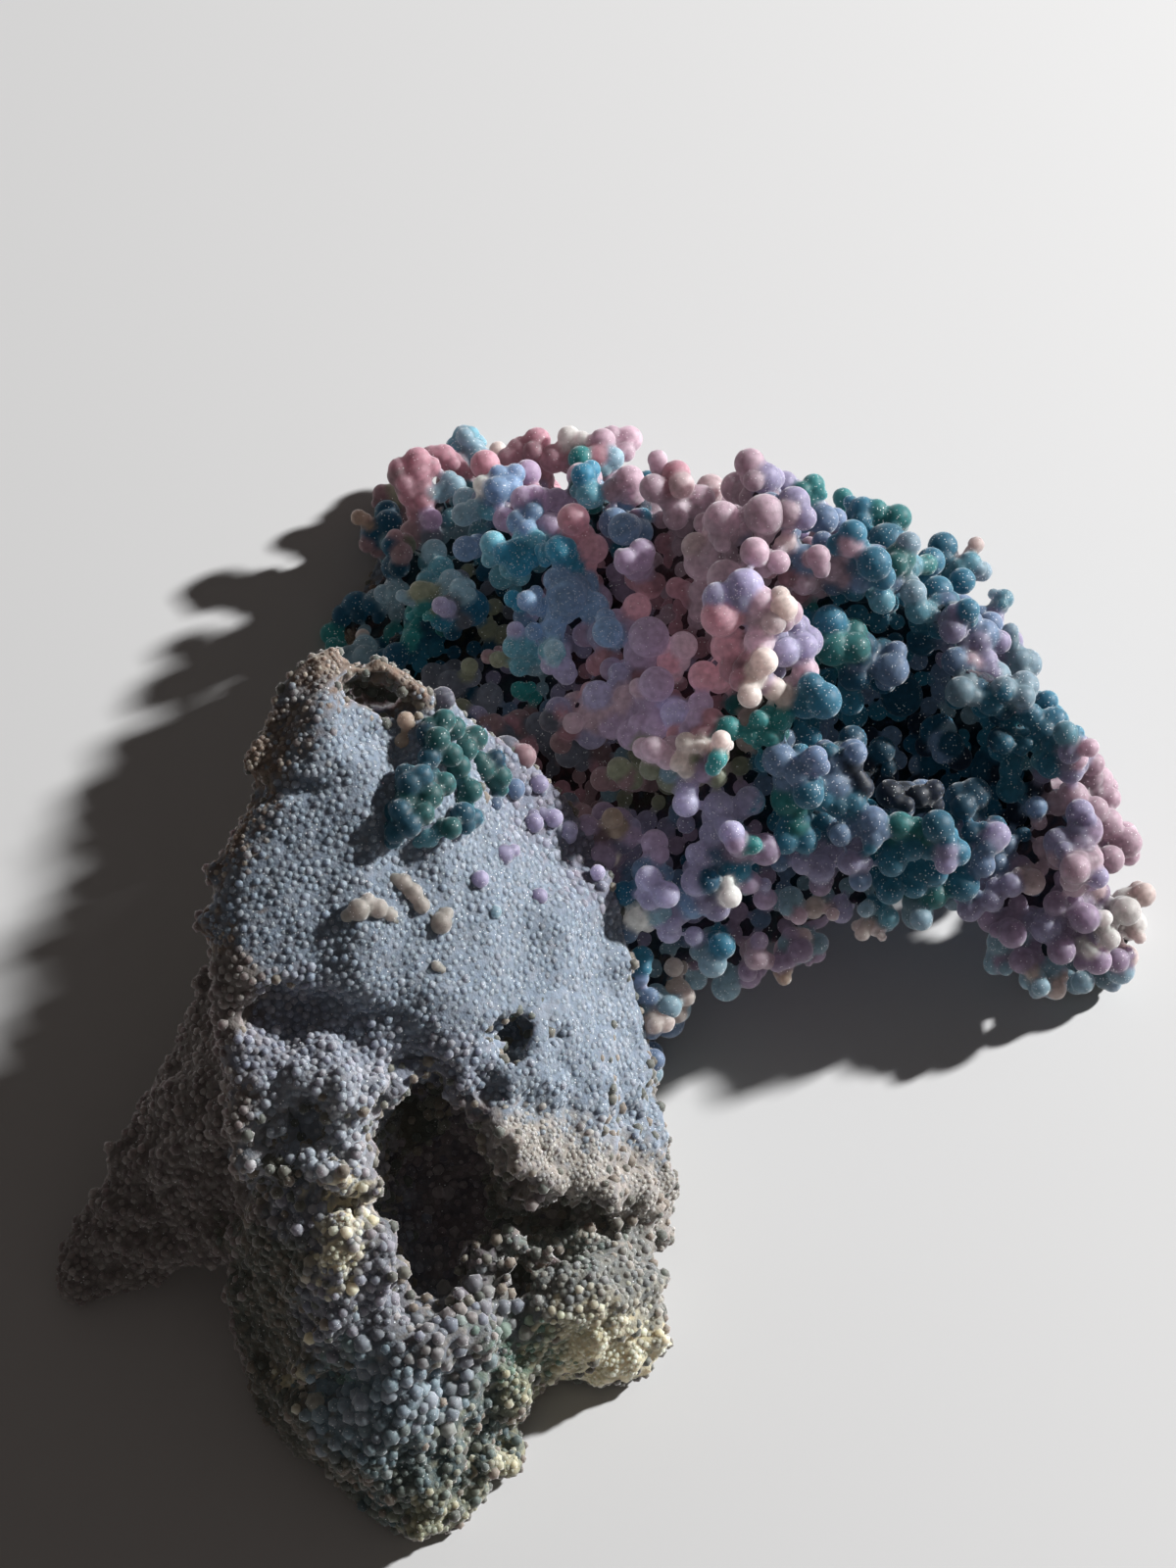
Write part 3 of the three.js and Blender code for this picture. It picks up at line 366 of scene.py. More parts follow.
# Holes cut into the stone along the line of sight, in the same way: right, up, radius, first and last depth.
HOLES = [
    (-24.8, 9.8, 0.9, -1.5, 3), (-23.2, 9.5, 1.3, -1.5, 3.5), (-21.4, 8.7, 1.5, -1.5, 4),
    (-19.4, 7.8, 1.3, -1.5, 3.5), (-8.8, -38, 1.3, -2, 5), (-8, -40, 1.6, -2, 6), (-6.6, -42, 1.5, -2, 6),
    (-5, -43.2, 1.3, -2, 6.5), (-3.4, -43.8, 1.1, -2, 6.5), (-2, -44.2, 1, -2, 6.5), (-0.6, -44.5, 1, -2, 6.5),
    (0.8, -44.7, 0.9, -2, 6), (2.2, -44.9, 0.8, -2, 5), (3.4, -45.2, 0.6, -2, 4), (-19.4, -32, 1.5, -1, 5),
    (-17, -31.4, 1.2, -1, 5), (-10.4, -34.6, 1.5, -1, 5), (-20.2, -38.5, 1.3, -1, 4), (-19.8, -42, 1.2, -1, 4),
    (-18.4, -46.5, 1.5, -1, 4), (-17, -50.6, 1.6, -1, 4), (-14.2, -51.6, 1.2, -1, 3.5),
    (-8.6, -50.4, 1.4, -1, 4), (-6.6, -51.6, 1, -1, 3), (-11, -50.8, 1.2, -1, 3.5), (-7.7, -25.2, 1.6, -1, 6),
    (-2.8, -25.8, 0.5, -1, 1.5), (-31.5, -36.5, 1.2, -1, 2.5), (-29, -35, 1.3, -1, 2.5),
    (-28.5, -61.5, 1, -1, 2.5), (-26, -61.8, 0.8, -1, 2), (-29.5, -50.5, 0.9, -1, 2.5),
    (-23.5, -40.8, 0.8, -1, 2.5), (-28, -42.5, 0.9, -1, 2.5), (-11.5, -67, 0.9, -1, 2.5),
    (-10.6, -70, 0.9, -1, 2.5), (7, -54, 0.7, -1, 1.5),
]

# Deep places in the crust, seen in the same way: right, up, half width, half height.
CRUST_HOLLOWS = [
    (2, 21, 4.5, 4.5), (-10, 13, 6, 5), (3, 3, 4.5, 4), (-13, 18, 4, 3.5), (35, 0.5, 8, 4), (29, 4, 3, 3),
    (9, 18, 3, 4), (41, 1, 4, 4.5), (-20, 26, 4, 4), (33, 14.5, 3, 2.5), (0, 27, 3, 2), (26, 19, 2.5, 3),
    (15, 10.5, 3, 1.8), (12, -13, 3, 2.5), (34, -6.5, 4, 1.5), (24, -13.5, 4, 1.2),
]


# Small tools


def linear(tint):
    """A colour from 0 to 255 as the renderer wants it."""
    share = np.asarray(tint, float) / 255
    return np.where(share <= 0.04045, share / 12.92, ((share + 0.055) / 1.055) ** 2.4)


def mm_points(mesh):
    """A mesh's vertices in the millimetres of the lists above."""
    points = np.empty(len(mesh.vertices) * 3)
    mesh.vertices.foreach_get("co", points)
    return points.reshape(-1, 3) / MM + PLAN_MIDDLE


def mm_normals(mesh):
    normals = np.empty(len(mesh.vertices) * 3)
    mesh.vertex_normals.foreach_get("vector", normals)
    return normals.reshape(-1, 3)


def metres(points):
    return (np.asarray(points, float) - PLAN_MIDDLE) * MM


def add_object(name, mesh):
    piece = bpy.data.objects.new(name, mesh)
    bpy.context.scene.collection.objects.link(piece)
    return piece


def settle(piece):
    """Applies every modifier of a piece."""
    graph = bpy.context.evaluated_depsgraph_get()
    mesh = bpy.data.meshes.new_from_object(piece.evaluated_get(graph))
    piece.modifiers.clear()
    piece.data = mesh
    return piece


def set_floats(mesh, name, values):
    attribute = mesh.attributes.new(name, "FLOAT", "POINT")
    attribute.data.foreach_set("value", np.asarray(values, np.float32))


def set_colours(mesh, name, values):
    attribute = mesh.attributes.new(name, "FLOAT_COLOR", "POINT")
    whole = np.ones((len(values), 4), np.float32)
    whole[:, :3] = values
    attribute.data.foreach_set("color", whole.ravel())


def weigh(piece, name, weights, levels=16):
    """A vertex group from weights between 0 and 1, in a few even levels."""
    group = piece.vertex_groups.new(name=name)
    steps = np.round(np.clip(weights, 0, 1) * levels).astype(int)
    for level in range(1, levels + 1):
        chosen = np.flatnonzero(steps == level)
        if len(chosen):
            group.add(chosen.tolist(), level / levels, "REPLACE")
    return name


def remesh(piece, voxel, smoothing):
    """Gives a piece one even skin and softens it."""
    skin = piece.modifiers.new("skin", "REMESH")
    skin.mode = "VOXEL"
    skin.voxel_size = voxel * MM
    skin.use_smooth_shade = True
    return soften(piece, smoothing)


def soften(piece, times, weights=None):
    ease = piece.modifiers.new("soften", "SMOOTH")
    ease.factor = 0.5
    ease.iterations = times
    ease.show_viewport = times > 0
    if weights is not None:
        ease.vertex_group = weigh(piece, "eased", weights)
    return settle(piece)


def push(piece, name, weights, lift):
    """Moves a surface along its normals, by weight: out where the lift is positive."""
    move = piece.modifiers.new(name, "DISPLACE")
    move.vertex_group = weigh(piece, name, weights)
    move.strength = lift * MM
    move.mid_level = 0
    return settle(piece)


def roughen(piece, name, size, depth, weights):
    """Weathers a surface with a cloud pattern of one size."""
    texture = bpy.data.textures.new(name, "CLOUDS")
    texture.noise_scale = size * MM
    texture.noise_depth = 3
    uneven = piece.modifiers.new(name, "DISPLACE")
    uneven.texture = texture
    uneven.texture_coords = "LOCAL"
    uneven.vertex_group = weigh(piece, name, weights)
    uneven.strength = depth * MM
    uneven.mid_level = 0.5
    return settle(piece)


def tree_of(surface):
    return BVHTree.FromObject(surface, bpy.context.evaluated_depsgraph_get())


# Places on the stone


def seen(points):
    """Where points stand for the view: millimetres right of and above the aim."""
    away = points - EYE
    return np.stack([away[:, 0], away @ UP], axis=1) * (DISTANCE / -(away @ BACK))[:, None]


def facing(points, normals):
    """How much a surface faces the eye, from -1 to 1."""
    toward = EYE - points
    return np.einsum("ij,ij->i", toward / np.linalg.norm(toward, axis=1, keepdims=True), normals)


def eye_ray(right, above):
    ray = AIM + np.array((right, 0, 0)) + UP * above - EYE
    return ray / np.linalg.norm(ray)


def cast(tree, start, ray):
    """How far away a ray meets a surface, or nothing."""
    distance = tree.ray_cast(Vector(metres(start)), Vector(ray))[3]
    return None if distance is None else distance / MM


def nearest(tree, point):
    return np.array(tree.find_nearest(Vector(metres(point)))[0]) / MM + PLAN_MIDDLE


def passing(tree, ray, out, steps):
    """For a ray that misses a surface: where it passes closest, drawn in to a distance out, and the gap."""
    along = np.linspace(DISTANCE - 45, DISTANCE + 45, steps)
    gaps = [np.linalg.norm(nearest(tree, EYE + ray * step) - EYE - ray * step) for step in along]
    place = EYE + ray * along[int(np.argmin(gaps))]
    edge = nearest(tree, place)
    return place + (edge - place) * max(0, 1 - out / max(min(gaps), 0.01)), min(gaps)


def crust_depth(points):
    """How far points lie behind the line where the crust begins, in millimetres of plan."""
    line = np.array(CRUST_LINE)
    return points[:, 1] - np.interp(points[:, 0], line[:, 0], line[:, 1])


def on_sheet(points):
    """The sheet's high back edge, which leans over the left of the crust."""
    return (points[:, 0] < -6) & (points[:, 2] > 27 + 0.35 * np.maximum(0, -18 - points[:, 0]))


def in_crust(points, margin=0.0):
    return (crust_depth(points) > margin) & (points[:, 2] > CRUST_UNDERSIDE) & ~on_sheet(points)


def off_the_foot(points):
    """Keeps the flat foot as it is."""
    return np.clip((points[:, 2] - 0.4) / 2.5, 0, 1)


def ellipse(spots, right, above, half_width, half_height, turn=0.0):
    """The distance of spots from the middle of an ellipse, 1 on its edge."""
    angle = math.radians(turn)
    offset = spots - np.array((right, above))
    along = offset[:, 0] * math.cos(angle) + offset[:, 1] * math.sin(angle)
    across = offset[:, 1] * math.cos(angle) - offset[:, 0] * math.sin(angle)
    return np.hypot(along / half_width, across / half_height)


def ragged(points, size, reach):
    """Moves points about a little, in patterns of one size, so that edges drawn on them turn out uneven."""
    shifts = [noise.noise_vector(Vector(point / size)) for point in points]
    return points + np.array(shifts) * reach


def pick_patch(spots, patches, random, mixing):
    """The patch that each spot belongs to, with ragged borders. A patch starts with right, up and reach."""
    best = np.full(len(spots), np.inf)
    chosen = np.zeros(len(spots), int)
    for i, patch in enumerate(patches):
        right, above, reach = patch[:3]
        score = ((spots[:, 0] - right) ** 2 + (spots[:, 1] - above) ** 2) / reach**2
        score += mixing * random.random(len(spots))
        better = score < best
        best[better] = score[better]
        chosen[better] = i
    return chosen


# Geometry Nodes


def node_tree(name, inputs):
    """A geometry node tree with its group nodes. inputs holds (name, socket type)."""
    tree = bpy.data.node_groups.new(name, "GeometryNodeTree")
    tree.interface.new_socket("Geometry", in_out="INPUT", socket_type="NodeSocketGeometry")
    tree.interface.new_socket("Geometry", in_out="OUTPUT", socket_type="NodeSocketGeometry")
    for label, kind in inputs:
        tree.interface.new_socket(label, in_out="INPUT", socket_type=kind)
    return tree, tree.nodes.new("NodeGroupInput"), tree.nodes.new("NodeGroupOutput")


def named_value(tree, name, kind="FLOAT"):
    node = tree.nodes.new("GeometryNodeInputNamedAttribute")
    node.data_type = kind
    node.inputs["Name"].default_value = name
    return node.outputs["Attribute"]


def scatter_tree():
    """Spreads seeds over a surface, none nearer to another than Spacing, where the value share is 1."""
    tree, given, made = node_tree("spread_seeds", [("Spacing", "NodeSocketFloat"), ("Seed", "NodeSocketInt")])
    spread = tree.nodes.new("GeometryNodeDistributePointsOnFaces")
    spread.distribute_method = "POISSON"
    spread.inputs["Density Max"].default_value = 1e8
    vertices = tree.nodes.new("GeometryNodePointsToVertices")
    tree.links.new(given.outputs["Geometry"], spread.inputs["Mesh"])
    tree.links.new(given.outputs["Spacing"], spread.inputs["Distance Min"])
    tree.links.new(given.outputs["Seed"], spread.inputs["Seed"])
    tree.links.new(named_value(tree, "share"), spread.inputs["Density Factor"])
    tree.links.new(spread.outputs["Points"], vertices.inputs["Points"])
    tree.links.new(vertices.outputs["Mesh"], made.inputs["Geometry"])
    return tree


def ball_tree():
    """Puts a round ball on every vertex, as large as its value size."""
    tree, given, made = node_tree("balls_on_seeds", [("Fineness", "NodeSocketInt")])
    ball = tree.nodes.new("GeometryNodeMeshIcoSphere")
    ball.inputs["Radius"].default_value = 1
    turn = tree.nodes.new("FunctionNodeRandomValue")
    turn.data_type = "FLOAT_VECTOR"
    turn.inputs["Max"].default_value = (math.tau, math.tau, math.tau)
    place = tree.nodes.new("GeometryNodeInstanceOnPoints")
    real = tree.nodes.new("GeometryNodeRealizeInstances")
    tree.links.new(given.outputs["Fineness"], ball.inputs["Subdivisions"])
    tree.links.new(given.outputs["Geometry"], place.inputs["Points"])
    tree.links.new(ball.outputs["Mesh"], place.inputs["Instance"])
    tree.links.new(turn.outputs["Value"], place.inputs["Rotation"])
    tree.links.new(named_value(tree, "size"), place.inputs["Scale"])
    tree.links.new(place.outputs["Instances"], real.inputs["Geometry"])
    tree.links.new(real.outputs["Geometry"], made.inputs["Geometry"])
    return tree


def sample_nearest(tree, balls, name, kind):
    """A value of the ball that each point of a skin is nearest to."""
    sample = tree.nodes.new("GeometryNodeSampleNearestSurface")
    sample.data_type = kind
    tree.links.new(balls.outputs["Geometry"], sample.inputs["Mesh"])
    tree.links.new(named_value(tree, name, kind), sample.inputs["Value"])
    return sample.outputs["Value"]


def vector_step(tree, operation, *values):
    """A Vector Math node whose inputs are sockets."""
    node = tree.nodes.new("ShaderNodeVectorMath")
    node.operation = operation
    sockets = [node.inputs[0], node.inputs["Scale"]] if operation == "SCALE" else node.inputs
    for socket, value in zip(sockets, values):
        tree.links.new(value, socket)
    return node.outputs["Vector"]


def true_round_tree():
    """Fits a skin to the balls it was made from: each point goes to its ball's surface and takes its tint."""
    tree, given, made = node_tree("true_round", [("Balls", "NodeSocketObject")])
    balls = tree.nodes.new("GeometryNodeObjectInfo")
    tree.links.new(given.outputs["Balls"], balls.inputs["Object"])
    middle = sample_nearest(tree, balls, "middle", "FLOAT_VECTOR")
    radius = sample_nearest(tree, balls, "size", "FLOAT")
    place = tree.nodes.new("GeometryNodeInputPosition").outputs["Position"]
    outward = vector_step(tree, "NORMALIZE", vector_step(tree, "SUBTRACT", place, middle))
    rounded = vector_step(tree, "ADD", middle, vector_step(tree, "SCALE", outward, radius))
    move = tree.nodes.new("GeometryNodeSetPosition")
    blur = tree.nodes.new("GeometryNodeBlurAttribute")
    blur.data_type = "FLOAT_COLOR"
    blur.inputs["Iterations"].default_value = 1
    store = tree.nodes.new("GeometryNodeStoreNamedAttribute")
    store.data_type = "FLOAT_COLOR"
    store.domain = "POINT"
    store.inputs["Name"].default_value = "tint"
    tree.links.new(rounded, move.inputs["Position"])
    tree.links.new(sample_nearest(tree, balls, "tint", "FLOAT_COLOR"), blur.inputs["Value"])
    tree.links.new(given.outputs["Geometry"], store.inputs["Geometry"])
    tree.links.new(blur.outputs["Value"], store.inputs["Value"])
    tree.links.new(store.outputs["Geometry"], move.inputs["Geometry"])
    tree.links.new(move.outputs["Geometry"], made.inputs["Geometry"])
    return tree


SCATTER = scatter_tree()
BALLS = ball_tree()
TRUE_ROUND = true_round_tree()


def run_nodes(piece, tree, **values):
    """Runs a node tree on a piece with the given inputs, and applies it."""
    step = piece.modifiers.new(tree.name, "NODES")
    step.node_group = tree
    for socket in tree.interface.items_tree:
        if socket.in_out == "INPUT" and socket.name in values:
            step[socket.identifier] = values[socket.name]
    return settle(piece)


def spread_seeds(surface, share, spacing, seed):
    """Seed places on a surface, where share is 1."""
    cover = add_object("cover", surface.data.copy())
    set_floats(cover.data, "share", share)
    run_nodes(cover, SCATTER, Spacing=spacing * MM, Seed=seed)
    places = mm_points(cover.data)
    bpy.data.objects.remove(cover)
    return places


def ball_cloud(name, places, sizes, tints, fineness):
    """One joined mesh of balls: their middles and radii in millimetres, and their colours."""
    mesh = bpy.data.meshes.new(name)
    mesh.from_pydata(metres(places).tolist(), [], [])
    set_floats(mesh, "size", np.asarray(sizes) * MM)
    set_colours(mesh, "tint", tints)
    middle = mesh.attributes.new("middle", "FLOAT_VECTOR", "POINT")
    middle.data.foreach_set("vector", metres(places).astype(np.float32).ravel())
    return run_nodes(add_object(name, mesh), BALLS, Fineness=fineness)


# The stone


def cad_skin():
    """A merged copy of the specimen's solid."""
    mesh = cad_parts[NODE].data.copy()
    shape = bmesh.new()
    shape.from_mesh(mesh)
    bmesh.ops.remove_doubles(shape, verts=shape.verts, dist=0.001 * MM)
    shape.to_mesh(mesh)
    shape.free()
    return add_object("cad_skin", mesh)


def thickness(surface, limit):
    """How thick the stone is under each vertex, in millimetres."""
    tree = tree_of(surface)
    points = mm_points(surface.data)
    normals = mm_normals(surface.data)
    depths = np.full(len(points), float(limit))
    for i in np.flatnonzero(in_crust(points)):
        through = cast(tree, points[i] - normals[i] * 0.05, -normals[i])
        if through is not None:
            depths[i] = min(limit, through)
    return depths


def carve(stone):
    """The folds, cups, slits and lobes of the stone that face the front."""
    points = mm_points(stone.data)
    spots = seen(ragged(ragged(points, 4.5, 1.6), 1.7, 0.7))
    open_to_view = np.clip(facing(points, mm_normals(stone.data)) * 4, 0, 1)
    before_crust = np.clip(1 - crust_depth(points) / 1.5, 0, 1)
    open_to_view *= np.where(on_sheet(points), 1, before_crust) * off_the_foot(points)
    lift = np.zeros(len(points))
    for right, above, half_width, half_height, turn, height in RELIEF:
        away = ellipse(spots, right, above, half_width, half_height, turn)
        lift += height * (1 / (1 + away**5) if height < 0 else np.exp(-(away**2)))
    lift = np.clip(lift, -6.5, 3) * open_to_view
    push(stone, "hollows", -lift / 6.5, -6.5)
    push(stone, "swellings", lift / 3, 3)


def rough_stone(skin):
    """The stone itself: it lies a little under the beads, and deep under the balls."""
    stone = add_object("host_rock", skin.data.copy())
    remesh(stone, FIRST_SKIN, 5)
    points = mm_points(stone.data)
    apart = np.hypot(*(points[:, None, :2] - BUNCH_FEET[None]).transpose(2, 0, 1))
    near_bunch = np.min(apart, axis=1) < BUNCH_REACH
    soften(stone, 90, (near_bunch & (points[:, 2] > 20) & (points[:, 1] < 18.6)).astype(float))
    soften(stone, 8, in_crust(mm_points(stone.data), 2).astype(float))
    room = thickness(stone, 99) * THICKNESS_SHARE
    points = mm_points(stone.data)
    ramp = np.clip(crust_depth(points) / 1.5, 0, 1) * in_crust(points)
    push(stone, "under_balls", ramp * np.minimum(1, room / SHRINK), -SHRINK)
    stone.vertex_groups.clear()
    cut_holes(stone, tree_of(skin))
    add_lumps(stone, tree_of(skin))
    remesh(stone, LAST_SKIN, 1)
    carve(stone)
    points = mm_points(stone.data)
    loose = off_the_foot(points)
    spots = seen(points)
    craggy = loose * np.clip((-26 - spots[:, 1]) / 6, 0.12, 1)
    roughen(stone, "swells", 6, 1.4, loose * np.where(spots[:, 1] < -24, 1, 0.5))
    roughen(stone, "crags", 3.0, 2.8, craggy)
    roughen(stone, "grit", 1.0, 0.45, loose)
    return stone


def cut_holes(stone, skin_tree):
    """Cuts the holes: each is a row of balls along the line of sight."""
    random = np.random.default_rng(SEEDS["holes"])
    middles = []
    radii = []
    for right, above, radius, first, last in HOLES:
        ray = eye_ray(right, above)
        near = cast(skin_tree, EYE, ray)
        if near is None:
            continue
        for depth in np.arange(near + first, near + last, radius * 0.7):
            middles.append(EYE + ray * depth + (random.random(3) - 0.5) * 0.5 * radius)
            radii.append(radius * (0.85 + 0.25 * random.random()))
    cutter = ball_cloud("cutter", np.array(middles), np.array(radii), np.zeros((len(radii), 3)), 2)
    remesh(cutter, HOLE_SKIN, 1)
    cut = stone.modifiers.new("cut", "BOOLEAN")
    cut.operation = "DIFFERENCE"
    cut.solver = "MANIFOLD"
    cut.object = cutter
    settle(stone)
    bpy.data.objects.remove(cutter)


def add_lumps(stone, skin_tree):
    """Joins the lumps to the stone. They become one with it when it is remeshed."""
    random = np.random.default_rng(SEEDS["lumps"])
    middles = []
    radii = []
    for right, above, radius, out in LUMPS:
        ray = eye_ray(right, above)
        near = cast(skin_tree, EYE, ray)
        if near is None:
            middle, _ = passing(skin_tree, ray, (radius + out) * 0.6, 91)
        else:
            middle = EYE + ray * (near + radius - out)
        root = middle + ray * radius * 1.4
        for share in (0, 0.5, 1):
            middles.append(middle + (root - middle) * share + (random.random(3) - 0.5) * radius * 0.3)
            radii.append(radius * (0.85 + 0.3 * random.random()))
    middles = np.array(middles)
    radii = np.array(radii)
    middles[:, 2] = np.maximum(middles[:, 2], radii)
    lumps = ball_cloud("lumps", middles, radii, np.zeros((len(radii), 3)), 3)
    shape = bmesh.new()
    shape.from_mesh(stone.data)
    shape.from_mesh(lumps.data)
    shape.to_mesh(stone.data)
    shape.free()
    bpy.data.objects.remove(lumps)


def thin_out(places, spacings, random):
    """Leaves out seeds that stand too near to a larger one."""
    finder = KDTree(len(places))
    for i, place in enumerate(places):
        finder.insert(place, i)
    finder.balance()
    kept = np.ones(len(places), bool)
    for i in np.lexsort((random.random(len(places)), -spacings)):
        if kept[i]:
            for _, other, _ in finder.find_range(places[i], spacings[i]):
                kept[other] = other == i
    return kept


def ground_of(points, normals, random, mixing):
    """The ground at each point: by patches where it faces the front, else the bare flanks."""
    chosen = pick_patch(seen(points), BEAD_PATCHES, random, mixing)
    names = np.array([BEAD_PATCHES[i][3] for i in chosen])
    hidden = facing(points, normals) < TURNED_AWAY
    names[hidden & (points[:, 0] < -34)] = "spur"
    names[hidden & (points[:, 0] >= -34)] = "flank"
    return names


def ground_tints(points, names, random):
    """Bead colours: they run into each other where one ground meets the next."""
    spots = seen(points) + random.normal(0, 1.3, (len(points), 2))
    tints = np.zeros((len(points), 3))
    whole = np.zeros((len(points), 1))
    for right, above, reach, name in BEAD_PATCHES:
        shades = linear(GROUNDS[name].tints)
        near = np.exp(-2.2 * ((spots[:, 0] - right) ** 2 + (spots[:, 1] - above) ** 2) / reach**2)[:, None]
        tints += near * shades[(random.random(len(points)) * len(shades)).astype(int)]
        whole += near
    tints /= whole + 1e-9
    for name in ("spur", "flank"):
        mine = names == name
        shades = linear(GROUNDS[name].tints)
        tints[mine] = shades[(random.random(mine.sum()) * len(shades)).astype(int)]
    return tints


def tint_stone(stone):
    """The stone's colour: that of the beads outside the crust, and under the balls their patch tints darkened to
    0.3, painted shade.
    """
    random = np.random.default_rng(SEEDS["stone"])
    points = mm_points(stone.data)
    tints = ground_tints(points, ground_of(points, mm_normals(stone.data), random, 0.15), random) * 0.9
    under = in_crust(points)
    # Painted shade: the stone deep under the balls takes their tints, darkened.
    tints[under] = patch_tints(points[under], random) * 0.3
    set_colours(stone.data, "tint", tints)


# Balls


def patch_tints(points, random):
    """Each ball's colour, from the patch that it grows in: partly its own colour and, in the deep patches,
    painted shade.
    """
    chosen = pick_patch(seen(points), BALL_PATCHES, random, 0.6)
    tints = np.empty((len(points), 3))
    for i, patch in enumerate(chosen):
        names = BALL_PATCHES[patch][3].split()
        tints[i] = linear(TINTS[names[int(random.random() * len(names))]])
    return tints * (0.6 + 0.24 * random.random((len(points), 1)))


def painted_light_factor(points, share):
    """How much lighter, or darker, than their patch the balls at some points are painted, as a factor: painted
    light and shade.
    """
    spots = seen(points)
    gains = [
        gain * np.exp(-(ellipse(spots, right, above, reach, reach) ** 2))
        for right, above, reach, gain in PAINTED_LIGHT_SPOTS
    ]
    return 1 + share * np.sum(gains, axis=0)[:, None]


def leading_balls(skin_tree, rock_tree, random):
    """The balls that stand out, each where the front shows it. Returns middles, radii and tints."""
    middles = []
    radii = []
    tints = []
    for name, balls in GRAPES.items():
        for right, above, radius in balls:
            ray = eye_ray(right, above)
            near = cast(skin_tree, EYE, ray)
            if near is None:
                middle, gap = passing(skin_tree, ray, 0.9 * radius, 61)
                if gap > 4:
                    continue
            else:
                bare = not in_crust(np.array([EYE + ray * near]), -0.5)[0]
                stalk = VALLEY_LIFT * math.exp(-(math.dist((right, above), VALLEY) / VALLEY_REACH) ** 4)
                depth = near + (-0.35 if bare else 0.35) * radius + SUNK.get(name, 0) - stalk
                rock = cast(rock_tree, EYE, ray)
                if rock is not None and not bare:
                    depth = min(depth, max(rock - 0.4 * radius, near + 0.3 * radius))
                middle = EYE + ray * depth
            middle[2] = max(middle[2], radius)
            middles.append(middle)
            radii.append(radius)
            tints.append(linear(TINTS[name]) * (0.64 + 0.2 * random.random()))
    middles = np.array(middles)
    # Painted light and shade: the tints are made lighter or darker by place.
    return middles, np.array(radii), np.array(tints) * painted_light_factor(middles, 1)


def filling_balls(skin, rock_tree, leaders, leader_radii, random):
    """Balls between the leading ones and all over the hidden sides. Returns middles, radii and tints."""
    share = in_crust(mm_points(skin.data), -0.5).astype(float)
    tips = spread_seeds(skin, share, TIP_SPACING, SEEDS["tips"])
    radii = TIP_RADIUS[0] + (TIP_RADIUS[1] - TIP_RADIUS[0]) * random.random(len(tips)) ** 1.2
    roots = np.array([nearest(rock_tree, tip) for tip in tips])
    inward = roots - tips
    reach = np.maximum(np.linalg.norm(inward, axis=1), 0.01)
    in_view = facing(tips, -inward / reach[:, None]) > 0.3
    radii = np.where(in_view, radii, radii * 1.15)
    spots = seen(tips)
    gaps = np.linalg.norm(spots[:, None] - seen(leaders)[None], axis=2)
    gaps = gaps - leader_radii[None] - 0.7 * radii[:, None]
    hollow = np.max([np.exp(-(ellipse(spots, *place) ** 2)) for place in CRUST_HOLLOWS], axis=0)
    sunk = 0.85 * radii + 1.8 * random.random(len(tips)) ** 2
    sunk += np.where(in_view, 0.7 + 3.2 * hollow, 0)
    kept = ~(in_view & (gaps.min(axis=1) < 0))
    kept &= in_view | (random.random(len(tips)) < 0.75)
    tips = tips + inward * (np.minimum(sunk, reach) / reach)[:, None]
    # Painted light and shade, at a smaller share for these balls.
    return tips[kept], radii[kept], patch_tints(tips[kept], random) * painted_light_factor(tips[kept], 0.4)


def grow_stalks(tips, tip_radii, tints, rock_tree, random):
    """Balls in a chain from the stone out to each tip, and now and then one at its side."""
    grown = []
    for tip, radius, tint in zip(tips, tip_radii, tints):
        grown.append((tip, radius, tint))
        root = nearest(rock_tree, tip)
        reach = tip - root
        steps = math.ceil(np.linalg.norm(reach) / (1.2 * radius))
        for step in range(steps):
            share = step / steps
            wander = (random.random(3) - 0.5) * 0.8 * math.sin(math.pi * share)
            # Painted shade: the chain balls deeper in the crust are darker by 0.85.
            grown.append((root + reach * share + wander, radius * (0.78 + 0.14 * random.random()), tint * 0.85))
        for _ in range(int(random.random() * 2.6)):
            aside = np.cross(reach, random.random(3) - 0.5)
            aside /= np.linalg.norm(aside) + 1e-6
            drop = radius * (0.3 + 0.8 * random.random())
            side = tip - reach / (np.linalg.norm(reach) + 1e-6) * drop
            side = side + aside * radius * (0.85 + 0.3 * random.random())
            grown.append((side, radius * (0.5 + 0.35 * random.random()), tint * (0.75 + 0.3 * random.random())))
    middles = np.array([ball[0] for ball in grown])
    radii = np.array([ball[1] for ball in grown])
    middles[:, 2] = np.maximum(middles[:, 2], radii)
    return middles, radii, np.array([ball[2] for ball in grown])


def bunch_balls(rock_tree, random):
    """The teal balls that stand on the sheet by themselves."""
    middles = []
    for right, above, _ in BUNCH:
        ray = eye_ray(right, above)
        middles.append(EYE + ray * (cast(rock_tree, EYE, ray) - BUNCH_LIFT * (0.35 + 0.55 * random.random())))
    radii = np.array([ball[2] for ball in BUNCH]) * BUNCH_SWELL
    names = [BUNCH_TINTS[int(random.random() * len(BUNCH_TINTS))] for _ in BUNCH]
    tints = np.array([linear(TINTS[name]) for name in names]) * BUNCH_SHADE
    return np.array(middles), radii, tints


